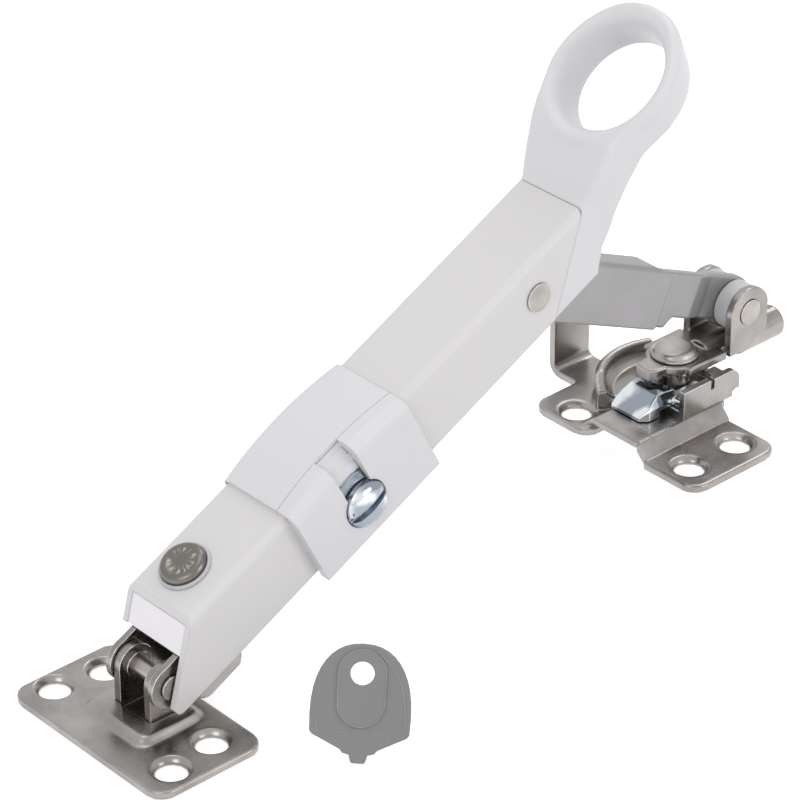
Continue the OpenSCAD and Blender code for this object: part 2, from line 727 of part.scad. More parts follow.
module swivel_fork() {
    roll_z = fork_floor - 0.6;
    foot_x1 = fork_reach + 0.5;
    color(steel) in_frame() difference() {
        union() {
            both_sides() sheet(fork_in, fork_out) fork_ear();
            translate([0, 0, fork_floor]) linear_extrude(fork_t) {
                circle(5.4);
                translate([-2, -fork_out]) square([foot_x1 + 2, fork_w]);
                polygon([[nose_x, nose_y[1]], [0, nose_y[1] + 1], [0, nose_y[0] - 1],
                    [nose_x + 1.4, nose_y[0]], [nose_x, nose_y[0] + 1]]);
            }
            translate([0, 0, fork_floor - nose_h]) linear_extrude(nose_h)
                polygon([[nose_x, nose_y[1]], [nose_x + fork_t, nose_y[1]],
                    [nose_x + fork_t, nose_y[0] + fork_t], [nose_x + 3, nose_y[0] + fork_t],
                    [nose_x + 3, nose_y[0]], [nose_x + 1.4, nose_y[0]], [nose_x, nose_y[0] + 1]]);
            translate([roll_x[0], roll_y, roll_z]) rotate([0, 90, 0])
                cylinder(r = roll_r, h = roll_x[1] - roll_x[0]);
        }
        cylinder(d = frame_rivet_d + pin_play, h = 40);
        translate([fork_reach, 0, fork_pin_h]) cross_bar(fork_pin_d, -fork_w, fork_w);
        both_sides() translate([fork_reach - ear_half - 0.9, fork_in - 0.2, fork_floor - 1])
            cube([0.9, 3, 4]);
        translate([roll_x[0] + fork_t, roll_y, roll_z]) rotate([0, 90, 0])
            cylinder(r = roll_r - fork_t + 0.2, h = roll_x[1]);
        translate([0, -9, 0]) cube([roll_open_x, 18, fork_floor - 0.1]);
    }
}

// Frame rivet with a collar for the latch, and the toothed washer under the fork
collar_d = frame_rivet_d + 2;
washer_t = 1.3;
washer_z = fork_floor - 0.1 - washer_t;
module frame_rivet() {
    top = fork_floor + fork_t + 0.08;
    r = frame_head_d / 2;
    color(nickel) in_frame() {
        translate([0, 0, platform_rise - 1]) cylinder(d = frame_rivet_d, h = top - platform_rise + 1);
        translate([0, 0, platform_rise - 1.2]) cylinder(d = collar_d, h = 1.2);
        translate([0, 0, platform_top + cradle_t])
            cylinder(d = collar_d, h = washer_z - platform_top - cradle_t);
        rotate_extrude() polygon([[0, top], [r, top], [r, top + 0.5], [r - 0.5, top + 0.7],
            [r - 0.6, top + 1.1], [r - 1, top + 1.5], [r - 1.5, top + 1.6], [0, top + 1.6]]);
    }
}

module star_washer() {
    teeth = 18;
    r = 4.1;
    color(nickel) in_frame() translate([0, 0, washer_z]) linear_extrude(washer_t) difference() {
        polygon([for (i = [0 : 2 * teeth - 1]) let (a = i * 180 / teeth, d = (i % 2) * 0.5)
            [(r - d) * cos(a), (r - d) * sin(a)]]);
        circle(d = frame_rivet_d);
    }
}

// Frame plate: a raised platform between two low flanges, a guard rim and an upright tab
near_y = [-25, -11.8];
near_x = [-19.8, 3];
step_y = -9.4;
hole_y = -18.4;
hole_x = -14.3;
platform_x = [-18.6, 4.6];
far_x = [-20.4, -8.6];
far_y = [2.6, 17.4];
flange_r = 3.4;
rim_t = 1.8;
rim_arc = [62, 152];
rim_run_out = 4.5;
tab_x = [-8.5, 1];
tab_y = 25;
tab_r = 3;
module fan(r, a0, a1) {
    polygon(concat([[0, 0]], [for (i = [0 : 6]) let (a = a0 + (a1 - a0) * i / 6)
        [r * cos(a), r * sin(a)]]));
}

module ramp(y0, y1, x0, x1) {
    run_x(x0, x1) polygon([[y0, 0], [y0, plate_t], [y1, platform_top], [y1, platform_rise]]);
}

// Guard rim: a pressed ledge and wall round the swivel, sloped down at its left end
guard = rim_r + rim_t;
rim_top = plate_t + rim_h;
module guard_rim() {
    difference() {
        intersection() {
            rotate_extrude() polygon([[7.5, platform_top], [rim_r - 1.6, platform_top],
                [rim_r - 0.5, platform_top + 0.8], [rim_r, platform_top + 1.4],
                [rim_r, rim_top - 0.4], [rim_r + 0.4, rim_top], [guard - 0.5, rim_top],
                [guard, rim_top - 0.5], [guard, plate_t], [guard + 0.8, plate_t],
                [guard + 0.8, 0], [guard - 2.6, 0], [guard - 3.4, platform_rise],
                [7.5, platform_rise]]);
            translate([0, 0, -1]) linear_extrude(20) fan(2 * guard, rim_arc[0], rim_arc[1]);
            translate([-40, 2, -1]) cube([80, 40, 20]);
        }
        rotate(rim_arc[1]) run_x(rim_r - 2, guard + 2) polygon([[1, platform_top + 0.8],
            [-rim_run_out, rim_top], [-rim_run_out, rim_top + 2], [1, rim_top + 2]]);
    }
}

module frame_plate() {
    bend_y = tab_y - tab_r;
    color(steel) in_frame() difference() {
        union() {
            linear_extrude(plate_t) {
                intersection() {
                    rounded_rect(near_x[0], near_y[0], near_x[1], near_y[1] + 8, flange_r);
                    translate([near_x[0], near_y[0]])
                        square([near_x[1] - near_x[0], near_y[1] - near_y[0]]);
                }
                rounded_rect(far_x[0], far_y[0], far_x[1], far_y[1], flange_r);
                translate([far_x[1] - 4, 8]) square([tab_x[1] - far_x[1] + 4, far_y[1] - 8]);
                translate([tab_x[0], 10]) square([tab_x[1] - tab_x[0], bend_y - 10]);
            }
            translate([0, 0, platform_rise]) linear_extrude(plate_t)
                translate([platform_x[0], step_y]) square([platform_x[1] - platform_x[0], 12.2]);
            ramp(near_y[1], step_y, platform_x[0] - 0.6, near_x[1] + 0.4);
            ramp(far_y[0] + 3, far_y[0] + 0.2, platform_x[0], -11);
            guard_rim();
            run_x(tab_x[0], tab_x[1]) difference() {
                union() {
                    intersection() {
                        translate([bend_y, tab_r]) circle(tab_r);
                        translate([bend_y, 0]) square(tab_r);
                    }
                    translate([tab_y - plate_t, tab_r]) square([plate_t, tab_h + plate_t - tab_r]);
                }
                translate([bend_y, tab_r]) circle(tab_r - plate_t);
            }
        }
        screw_hole(hole_x, hole_y, plate_t);
        screw_hole(hole_x + frame_hole_dx, hole_y, plate_t);
        screw_hole(hole_x - 1.5, hole_y + frame_hole_dy, plate_t);
        cylinder(d = frame_rivet_d, h = 40);
        translate([0, 0, -1]) cylinder(d = collar_d + 1, h = platform_rise + 1);
    }
}

// Guide cradle: a channel on the platform with one tall wall, notched and hooked at its end
cradle_x = [-6.5, 8.4];
cradle_y = 9.2;
module cradle_wall() {
    top = platform_top + cradle_h;
    difference() {
        union() {
            translate([cradle_x[0], platform_top]) square([cradle_x[1] - cradle_x[0] - 1.8, cradle_h]);
            translate([cradle_x[1] - 6, platform_top + 1.4]) square([6, cradle_h - 3.8]);
            translate([cradle_x[1] - 2.4, top - 2.4]) circle(2.4);
        }
        translate([0.6, top - 2.1]) square([1, 3]);
    }
}

module guide_cradle() {
    top = platform_top + cradle_h;
    color(steel) in_frame() difference() {
        union() {
            sheet(-cradle_y, cradle_t - cradle_y) cradle_wall();
            translate([2.4, cradle_t - cradle_y, top - cradle_t]) cube([2.6, 2.2, cradle_t]);
            translate([3.4, cradle_y - cradle_t, platform_top])
                cube([2.4, cradle_t, cradle_h - 2.2]);
            translate([cradle_x[0], -cradle_y, platform_top])
                cube([cradle_x[1] - cradle_x[0] - 1.8, 2 * cradle_y, cradle_t]);
        }
        cylinder(d = frame_rivet_d, h = 40);
        translate([cradle_x[0] - 1, 3.4, 0]) cube([7, 20, 20]);
    }
}

// Latch: a cast hood on a slotted slide that runs in the cradle
latch_travel = 2.5;
slide_z = platform_top + cradle_t + side_gap;
slide_t = 1.4;
slide_y = cradle_y - cradle_t - side_gap;
hood_top = washer_z - 0.3;
hood_x = [-13.5, -4.8];
hood_y = [-5.6, 3];
module latch() {
    slot = collar_d / 2 + side_gap;
    foot = platform_top + side_gap;
    color(zinc) in_frame() {
        difference() {
            translate([hood_x[1] - 1, -slide_y, slide_z]) cube([8, slide_y + hood_y[1], slide_t]);
            translate([-latch_travel, 0, 0]) cylinder(r = slot, h = 20);
            translate([-latch_travel, -slot, 0]) cube([20, 2 * slot, 20]);
        }
        difference() {
            intersection() {
                sheet(-20, 20) polygon([[hood_x[0], foot], [hood_x[0], foot + 0.9],
                    [hood_x[0] + 2.6, foot + 3.5], [hood_x[0] + 4, hood_top - 0.1],
                    [hood_x[0] + 6, hood_top], [hood_x[1], hood_top - 0.3], [hood_x[1], slide_z],
                    [cradle_x[0] - side_gap - latch_travel, slide_z],
                    [cradle_x[0] - side_gap - latch_travel, foot]]);
                run_x(-30, 0) polygon([[hood_y[0], 0], [hood_y[0], slide_z + 0.8],
                    [hood_y[0] + 0.7, hood_top], [hood_y[1] - 0.8, hood_top],
                    [hood_y[1], slide_z + 0.8], [hood_y[1], 0]]);
                linear_extrude(40) polygon([[hood_x[0], hood_y[1]], [0, hood_y[1]],
                    [0, hood_y[0]], [hood_x[0] + 1.5, hood_y[0]],
                    [hood_x[0], hood_y[0] + 1.3]]);
            }
            translate([hood_x[1] - 4.2, hood_y[0] + 1.4, 0])
                cube([3.2, hood_y[1] - hood_y[0] - 2.8, hood_top - 1.2]);
            translate([-latch_travel, 0, 0]) cylinder(r = slot, h = 20);
        }
    }
}

// Leaf spring bowed across the end of the cradle
module latch_spring() {
    bow = 26;
    color(steel_light) in_frame() intersection() {
        translate([cradle_x[1] - 2 - bow, -3, slide_z]) difference() {
            cylinder(r = bow, h = 2, $fn = 180);
            translate([0, 0, -1]) cylinder(r = bow - 0.4, h = 4, $fn = 180);
        }
        translate([0, -slide_y + 0.2, 0]) cube([20, slide_y + 2.6, 40]);
    }
}

// Key: a flat bow with a hole and a raised oval, and a short blade; it stands on its tip
key_tip = [20.6, -34.3];
key_turn = -42;
key_lean = 59;
key_rise = 15.2;
key_roll = 3.4;
bow_up = 5;
bow_down = 7;
module key_outline() {
    half = key_w / 2;
    power = 2 / 2.3;
    top = [for (i = [0 : 20]) let (a = 9 * i) [half * sign(cos(a)) * pow(abs(cos(a)), power),
        (bow_up + bow_down) * pow(sin(a), power) - bow_down]];
    foot = [[half - 0.1, -10], [half - 0.6, -10.6], [3.2, -12.9], [2.7, -13.5], [1.6, -13.8],
        [1.3, -14.9], [1, -key_rise]];
    mirrored = [for (i = [0 : len(foot) - 1]) [-foot[i][0], foot[i][1]]];
    polygon(concat(top, mirrored, [for (i = [len(foot) - 1 : -1 : 0]) foot[i]]));
}

module key() {
    oval = key_w * 0.235;
    color([0.53, 0.53, 0.54]) translate([key_tip[0], key_tip[1], 0]) rotate(key_turn)
        rotate([key_lean, 0, 0]) translate([1, 0, 0]) rotate(-key_roll)
        translate([-1, key_rise, 0]) difference() {
            union() {
                linear_extrude(key_t - 0.3) key_outline();
                linear_extrude(key_t) {
                    circle(oval);
                    translate([-oval, -5]) square([2 * oval, 5]);
                    translate([0, -5]) circle(oval);
                }
            }
            translate([0, 0, -1]) cylinder(d = key_hole_d, h = 9);
        }
}

sash_plate();
sash_clevis();
sash_pin();
sash_pin_washers();
swivel_link();
swivel_spacer();
swivel_rivet();
arm_profile();
end_plug();
pull_ring();
elbow_rivet();
elbow_bushes();
lock_top_cover();
lock_side_cover();
lock_screws();
lock_cylinder();
lock_cam();
lock_clip();
link_sleeve();
link_bar();
fork_washers();
fork_pin();
swivel_fork();
frame_rivet();
star_washer();
frame_plate();
guide_cradle();
latch();
latch_spring();
key();
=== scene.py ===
import math

import bmesh
import bpy
from mathutils import Matrix, Vector


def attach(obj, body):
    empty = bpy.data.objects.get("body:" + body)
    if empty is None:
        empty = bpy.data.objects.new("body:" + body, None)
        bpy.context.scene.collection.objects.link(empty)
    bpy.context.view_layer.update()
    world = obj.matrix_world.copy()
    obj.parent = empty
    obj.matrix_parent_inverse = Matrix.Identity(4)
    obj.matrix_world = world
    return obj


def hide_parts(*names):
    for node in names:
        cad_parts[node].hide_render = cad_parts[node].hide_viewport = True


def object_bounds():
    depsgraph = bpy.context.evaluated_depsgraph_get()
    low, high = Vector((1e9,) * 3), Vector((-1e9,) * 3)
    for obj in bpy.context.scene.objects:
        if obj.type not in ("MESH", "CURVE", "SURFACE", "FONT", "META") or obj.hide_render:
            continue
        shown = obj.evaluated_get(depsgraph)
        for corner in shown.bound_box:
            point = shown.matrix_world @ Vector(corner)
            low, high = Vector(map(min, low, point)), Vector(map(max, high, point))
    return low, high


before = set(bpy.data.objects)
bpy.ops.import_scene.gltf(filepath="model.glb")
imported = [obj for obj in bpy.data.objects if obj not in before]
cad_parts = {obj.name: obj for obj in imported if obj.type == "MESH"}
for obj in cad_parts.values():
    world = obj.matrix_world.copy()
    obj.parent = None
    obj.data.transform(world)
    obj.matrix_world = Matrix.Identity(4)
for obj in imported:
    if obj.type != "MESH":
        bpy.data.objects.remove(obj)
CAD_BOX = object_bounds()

bl_info = {
    "name": "Window restrictor",
    "version": (1, 0, 0),
    "blender": (4, 5, 0),
    "location": "View3D > Sidebar > Restrictor",
    "description": "Dresses a locking window restrictor and its key, and sets its studio",
    "category": "Object",
}

MM = 0.001

# The sizes and places below are those of the CAD source, given in mm and degrees

# How far the profile arm rises from the sash plate
ARM_PITCH = math.radians(26.8)
# The sash pin in the part's frame, and the same pin in the arm's own frame
SASH_PIN = Vector((3.3, 0, 9.2))
SASH_PIN_ON_ARM = Vector((2.2, 0, -3))
# A point on the axis of the swivel rivet, in the arm's own frame
SWIVEL_RIVET = (18.2, 1.1, 3.0)
SWIVEL_HEAD_WIDTH = 8.6
# Axis of the lock in the arm's own frame
LOCK_AXIS = (48.3, 0, -2.2)
LOCK_HEAD_RADIUS = 4.4
# The pull ring: its centre in the part's frame, its tilt, its bore, its wall at the face and
# half its thickness
RING_CENTRE = Vector((113.63, 0, 84.2))
RING_PITCH = ARM_PITCH + math.radians(15.8)
RING_BORE_RADIUS = 9.9
RING_WALL = 4.5
RING_HALF = 4.9
# The key: its tip, how it is turned, leans and rolls, and from its tip up to its hole
KEY_TIP = Vector((20.6, -34.3, 0))
KEY_TURN = math.radians(-42)
KEY_LEAN = math.radians(59)
KEY_ROLL = math.radians(-3.4)
KEY_RISE = 15.2
KEY_WIDTH = 17.2
# Heights of the key's flat face and of the raised oval on it
KEY_FLAT = 1.9
KEY_OVAL = 2.2

# Turns of smoothing where the neck of the ring flows into it
FLOW_TURNS = 40
# A softened piece with fewer points than this has been lost in its remesh
FEWEST_POINTS = 500


# Shared tools

def linear(text):
    """An sRGB hex colour as linear red, green, blue and alpha."""
    parts = [int(text[i:i + 2], 16) / 255 for i in (1, 3, 5)]
    return [p / 12.92 if p <= 0.04045 else ((p + 0.055) / 1.055) ** 2.4 for p in parts] + [1.0]


def per(mm):
    """Noise scale that gives one cycle in so many millimetres, on coordinates in metres."""
    return 1000.0 / mm


def add(tree, kind, feed=None, values=None, **settings):
    """One node: settings are its options, values its sockets and feed the links into it."""
    node = tree.nodes.new(kind)
    for name, value in settings.items():
        setattr(node, name, value)
    for socket, value in (values or {}).items():
        node.inputs[socket].default_value = value
    for socket, source in (feed or {}).items():
        tree.links.new(source, node.inputs[socket])
    return node


def new_finish(name, colour, **sockets):
    """A material with its principled shader's own sockets set: (material, tree, shader)."""
    finish = bpy.data.materials.new(name)
    finish.use_nodes = True
    finish.diffuse_color = linear(colour)
    tree = finish.node_tree
    shader = tree.nodes["Principled BSDF"]
    shader.inputs["Base Color"].default_value = linear(colour)
    for socket, value in sockets.items():
        shader.inputs[socket.replace("_", " ")].default_value = value
    return finish, tree, shader


def ramp(value, start, end):
    """How far value is from start to end, from 0 to 1, with soft ends."""
    part = min(max((value - start) / (end - start), 0.0), 1.0)
    return part * part * (3 - 2 * part)


def on_arm(point):
    """A point of the arm's own frame, in mm, as a place in the part's frame, in metres."""
    turn = Matrix.Rotation(-ARM_PITCH, 3, "Y")
    return (turn @ (Vector(point) - SASH_PIN_ON_ARM) + SASH_PIN) * MM


def key_matrix():
    """Place of the key's own frame, which starts in its hole, in metres."""
    # The key rolls on the corner of its tip, 1 mm to the side of its middle line
    corner = 1
    steps = (
        Matrix.Translation(KEY_TIP),
        Matrix.Rotation(KEY_TURN, 4, "Z"),
        Matrix.Rotation(KEY_LEAN, 4, "X"),
        Matrix.Translation((corner, 0, 0)),
        Matrix.Rotation(KEY_ROLL, 4, "Z"),
        Matrix.Translation((-corner, KEY_RISE, 0)),
    )
    place = Matrix.Identity(4)
    for step in steps:
        place = place @ step
    return Matrix.Scale(MM, 4) @ place


def dress(names, finish):
    """Gives CAD nodes that stay as they are their material."""
    for name in names:
        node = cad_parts[name]
        node.data.materials.clear()
        node.data.materials.append(finish)


def put(name, data):
    """A new object with this mesh, curve, light or camera, in the scene."""
    item = bpy.data.objects.new(name, data)
    bpy.context.scene.collection.objects.link(item)
    return item


def flow(mesh, blend):
    """Smooths a mesh, each point in as many of the turns as blend says, from 0 to 1."""
    build = bmesh.new()
    build.from_mesh(mesh)
    shares = {vertex: blend(vertex.co) for vertex in build.verts}
    for turn in range(FLOW_TURNS):
        flowing = [vertex for vertex, share in shares.items() if share > turn / FLOW_TURNS]
        bmesh.ops.smooth_vert(build, verts=flowing, factor=0.5, use_axis_x=True,
                              use_axis_y=True, use_axis_z=True)
    build.to_mesh(mesh)
    build.free()


def softened(node, body, finish, grain, passes, extra=None, shape=None, blend=None):
    """A CAD node's form with the soft edges that pressing, moulding or casting leaves on it.

    grain is the mesh size in mm and passes says how often it is smoothed. extra is a mesh that
    is melted into it, blend says how far each point flows on, 0 to 1, and shape moves each
    point a little. These three are in metres.
    """
    build = bmesh.new()
    build.from_mesh(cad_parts[node].data)
    if extra:
        build.from_mesh(extra)
    rough_mesh = bpy.data.meshes.new(node + "_rough")
    build.to_mesh(rough_mesh)
    build.free()
    rough = put(node + "_rough", rough_mesh)
    remesh = rough.modifiers.new("grain", "REMESH")
    remesh.mode = "VOXEL"
    remesh.voxel_size = grain * MM
    relax = rough.modifiers.new("relax", "SMOOTH")
    relax.factor = 0.5
    relax.iterations = passes
    shaped = rough.evaluated_get(bpy.context.evaluated_depsgraph_get())
    mesh = bpy.data.meshes.new_from_object(shaped)
    bpy.data.objects.remove(rough)
    if len(mesh.vertices) < FEWEST_POINTS:
        raise RuntimeError("softening left too little of " + node)
    if blend:
        flow(mesh, blend)
    if shape:
        for vertex in mesh.vertices:
            vertex.co = shape(vertex.co)
    mesh.name = node + "_soft"
    for face in mesh.polygons:
        face.use_smooth = True
    mesh.materials.clear()
    mesh.materials.append(finish)
    piece = put(node + "_soft", mesh)
    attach(piece, body)
    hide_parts(node)
    return piece


def ring_frame():
    """Place of the ring's own frame: x towards its far end, z out of its face."""
    return Matrix.Translation(RING_CENTRE) @ Matrix.Rotation(-RING_PITCH, 4, "Y")


def neck_web(place):
    """Mesh that carries the neck's top in one sweep up to the ring's face, clear of its bore."""
    # For each section: how far along the ring it stands, the height of its top, half its
    # width and its depth
    stations = ((-22.4, -0.45, 8.1, 3.0), (-20.1, 0.75, 8.8, 3.6), (-16.3, 2.7, 10.0, 4.4),
                (-12.3, 4.45, 11.2, 5.2), (-9.0, 4.9, 12.2, 5.5), (-5.0, 4.9, 13.0, 5.5))
    # The upper corners are cut back by the first value, and by the second at their middle
    cut_back = 0.9
    cut_mid = 0.3
    web = bmesh.new()
    loops = []
    for along, up, half, deep in stations:
        right = [(half, up - deep), (half, up - cut_back), (half - cut_mid, up - cut_mid),
                 (half - cut_back, up)]
        left = [(-y, z) for y, z in reversed(right)]
        section = left[-1:] + right + left[:-1]
        loops.append([web.verts.new(Vector((along, y, z))) for y, z in section])
    for near, far in zip(loops, loops[1:]):
        for i in range(len(near)):
            k = (i + 1) % len(near)
            web.faces.new((near[i], near[k], far[k], far[i]))
    web.faces.new(list(reversed(loops[0])))
    web.faces.new(loops[-1])
    bmesh.ops.triangulate(web, faces=web.faces)
    bmesh.ops.recalc_face_normals(web, faces=web.faces)
    mesh = bpy.data.meshes.new("neck_web")
    web.to_mesh(mesh)
    web.free()
    body = put("neck_web", mesh)
    # The web ends 1.5 mm outside the bore, cut by a cylinder that is longer than it is deep
    clear = RING_BORE_RADIUS + 1.5
    length = 40
    bore = bmesh.new()
    bmesh.ops.create_cone(bore, cap_ends=True, segments=96, radius1=clear, radius2=clear,
                          depth=length)
    bore_mesh = bpy.data.meshes.new("neck_bore")
    bore.to_mesh(bore_mesh)
    bore.free()
    cutter = put("neck_bore", bore_mesh)
    cut = body.modifiers.new("bore", "BOOLEAN")
    cut.operation = "DIFFERENCE"
    cut.object = cutter
    done = body.evaluated_get(bpy.context.evaluated_depsgraph_get())
    result = bpy.data.meshes.new_from_object(done)
    bpy.data.objects.remove(body)
    bpy.data.objects.remove(cutter)
    result.transform(Matrix.Scale(MM, 4) @ place)
    return result


def ring_shaper(place):
    """The ring narrows on its outside, and its bore opens towards the face in a soft dish.

    Its far side narrows over its whole height, and its near side only towards the face.
    """
    inward = place.inverted()
    narrowing = 1.15
    dish_depth = 0.7
    tip_reach = 0.3

    def shape(point):
        local = inward @ (point * 1000)
        out = math.hypot(local.x, local.y)
        wall = min(max((out - RING_BORE_RADIUS) / RING_WALL, 0.0), 1.0)
        height = 1.0 if local.y > 0 else ramp(local.z, -RING_HALF, RING_HALF)
        past_neck = ramp(local.x, -20.5, -11)
        pull = narrowing * height * past_neck * wall * ramp(abs(local.y), 3, 13)
        dish = (1 - wall) * ramp(local.z, 0.0, RING_HALF) * ramp(local.x, -16, -12)
        spread = 1 + dish_depth * dish / max(out, 5)
        local.y -= math.copysign(pull, local.y)
        local.x += tip_reach * ramp(local.x, 0, 14)
        return (place @ Vector((local.x * spread, local.y * spread,
                                local.z - dish_depth * (1 - wall) * dish))) * MM

    return shape


def neck_blend(place):
    """1 where the neck runs into the ring, 0 at the seam, bore, face and far half of the ring."""
    inward = place.inverted()

    def share(point):
        local = inward @ (point * 1000)
        out = math.hypot(local.x, local.y)
        past_seam = ramp(local.x, -22.5, -17)
        near_half = 1 - ramp(local.x, 0, 5)
        off_bore = ramp(out, 11.2, 13)
        below_face = 1 - ramp(local.z, 2.4, 4.6)
        return min(past_seam, near_half, off_bore, below_face)

    return share


def head_shaper():
    """The lock head's face swells like a shallow lens from its rim to its middle."""
    axis = on_arm(LOCK_AXIS)
    # The swell sets in over one millimetre, from this far out of the arm's middle
    front_start = 9.6
    swell_height = 0.75

    def shape(point):
        away = point - axis
        out = math.hypot(away.x, away.z) / MM
        front = min(max(-away.y / MM - front_start, 0.0), 1.0)
        swell = max(1 - (out / LOCK_HEAD_RADIUS) ** 2, 0.0)
        return point + Vector((0, -swell_height * front * swell * MM, 0))

    return shape


def thin_piece(name, body, finish, rows, thick):
    """A thin formed piece: a grid of points, in metres, thickened to one side, in mm."""
    across = len(rows[0])
    mesh = bpy.data.meshes.new(name)
    mesh.from_pydata([point for row in rows for point in row], [],
                     [(i * across + j, (i + 1) * across + j, (i + 1) * across + j + 1,
                       i * across + j + 1)
                      for i in range(len(rows) - 1) for j in range(across - 1)])
    for face in mesh.polygons:
        face.use_smooth = True
    mesh.materials.append(finish)
    piece = put(name, mesh)
    wall = piece.modifiers.new("wall", "SOLIDIFY")
    wall.thickness = thick * MM
    wall.offset = -1
    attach(piece, body)
    return piece


def raised_line(name, body, finish, paths, place, radius):
    """Fine raised lines: one curve with a round bevel along each path.

    A path is its points in the frame that place gives, and whether it is closed.
    """
    curve = bpy.data.curves.new(name, "CURVE")
    curve.dimensions = "3D"
    curve.bevel_depth = radius * MM
    curve.bevel_resolution = 3
    for points, closed in paths:
        spline = curve.splines.new("NURBS")
        spline.points.add(len(points) - 1)
        spline.order_u = 3
        spline.resolution_u = 6
        spline.use_cyclic_u = closed
        spline.use_endpoint_u = not closed
        for point, (x, y, z) in zip(spline.points, points):
            point.co = (*(place @ Vector((x, y, z))), 1.0)
    curve.materials.append(finish)
    piece = put(name, curve)
    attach(piece, body)
    return piece


# Materials

def powder_coated_aluminium(colours):
    """Extruded aluminium, sprayed with powder and baked.

    The baked coat has a fine orange peel, so its satin shine breaks up, and it runs round the
    edges, which catch the light in a soft line.
    """
    finish, tree, shader = new_finish("powder_coated_aluminium", colours.coat,
                                      Roughness=0.38, IOR=1.5, Coat_Weight=0.08,
                                      Coat_Roughness=0.25)
    place = add(tree, "ShaderNodeTexCoord")
    drift = add(tree, "ShaderNodeTexNoise", {"Vector": place.outputs["Object"]},
                {"Scale": per(22), "Detail": 2.0})
    tint = add(tree, "ShaderNodeMix", {0: drift.outputs["Fac"]},
               {6: linear(colours.coat), 7: linear(colours.coat_warm)}, data_type="RGBA")
    tree.links.new(tint.outputs[2], shader.inputs["Base Color"])
    # The peel of such a coat is about 0.8 mm across, and is drawn at 1.1 mm to show
    peel = add(tree, "ShaderNodeTexNoise", {"Vector": place.outputs["Object"]},
               {"Scale": per(1.1), "Detail": 1.0})
    edge = add(tree, "ShaderNodeBevel", values={"Radius": 0.3 * MM}, samples=6)
    bump = add(tree, "ShaderNodeBump", {"Height": peel.outputs["Fac"],
               "Normal": edge.outputs["Normal"]}, {"Strength": 0.05, "Distance": 0.02 * MM})
    tree.links.new(bump.outputs["Normal"], shader.inputs["Normal"])
    return finish


def moulded_white(colours):
    """Coloured ABS, moulded in a spark-eroded steel tool.

    Its skin has a fine even grain with a soft shine, and the tool's wear leaves it a little
    smoother in patches.
    """
    finish, tree, shader = new_finish("moulded_abs", colours.moulding,
                                      Roughness=0.42, IOR=1.53)
    place = add(tree, "ShaderNodeTexCoord")
    patches = add(tree, "ShaderNodeTexNoise", {"Vector": place.outputs["Object"]},
                  {"Scale": per(14), "Detail": 3.0})
    shine = add(tree, "ShaderNodeMapRange", {"Value": patches.outputs["Fac"]},
                {"From Min": 0.3, "From Max": 0.7, "To Min": 0.34, "To Max": 0.5})
    tree.links.new(shine.outputs["Result"], shader.inputs["Roughness"])
    tint = add(tree, "ShaderNodeMix", {0: patches.outputs["Fac"]},
               {6: linear(colours.moulding), 7: linear(colours.moulding_cool)},
               data_type="RGBA")
    tree.links.new(tint.outputs[2], shader.inputs["Base Color"])
    # The spark grain is about 0.05 mm, and is drawn at 0.35 mm to show
    grain = add(tree, "ShaderNodeTexNoise", {"Vector": place.outputs["Object"]},
                {"Scale": per(0.35), "Detail": 2.0})
    edge = add(tree, "ShaderNodeBevel", values={"Radius": 0.3 * MM}, samples=6)
    bump = add(tree, "ShaderNodeBump", {"Height": grain.outputs["Fac"],
               "Normal": edge.outputs["Normal"]}, {"Strength": 0.05, "Distance": 0.01 * MM})
    tree.links.new(bump.outputs["Normal"], shader.inputs["Normal"])
    return finish


def moulded_plug(colours):
    """White polypropylene plug, moulded in a polished tool.

    It is whiter and cooler than the coat round it, and light goes a little way into it.
    """
    finish, tree, shader = new_finish("moulded_polypropylene", colours.plug, Roughness=0.33,
                                      IOR=1.49, Subsurface_Weight=0.08,
                                      Subsurface_Scale=0.6 * MM)
    place = add(tree, "ShaderNodeTexCoord")
    marks = add(tree, "ShaderNodeTexNoise", {"Vector": place.outputs["Object"]},
               {"Scale": per(6), "Detail": 2.0})
    bump = add(tree, "ShaderNodeBump", {"Height": marks.outputs["Fac"]},
               {"Strength": 0.1, "Distance": 0.05 * MM})
    tree.links.new(bump.outputs["Normal"], shader.inputs["Normal"])
    pale = add(tree, "ShaderNodeMath", {0: marks.outputs["Fac"]}, {1: 0.25},
               operation="MULTIPLY")
    tint = add(tree, "ShaderNodeMix", {0: pale.outputs["Value"]},
               {6: linear(colours.plug), 7: linear(colours.moulding)}, data_type="RGBA")
    tree.links.new(tint.outputs[2], shader.inputs["Base Color"])
    return finish


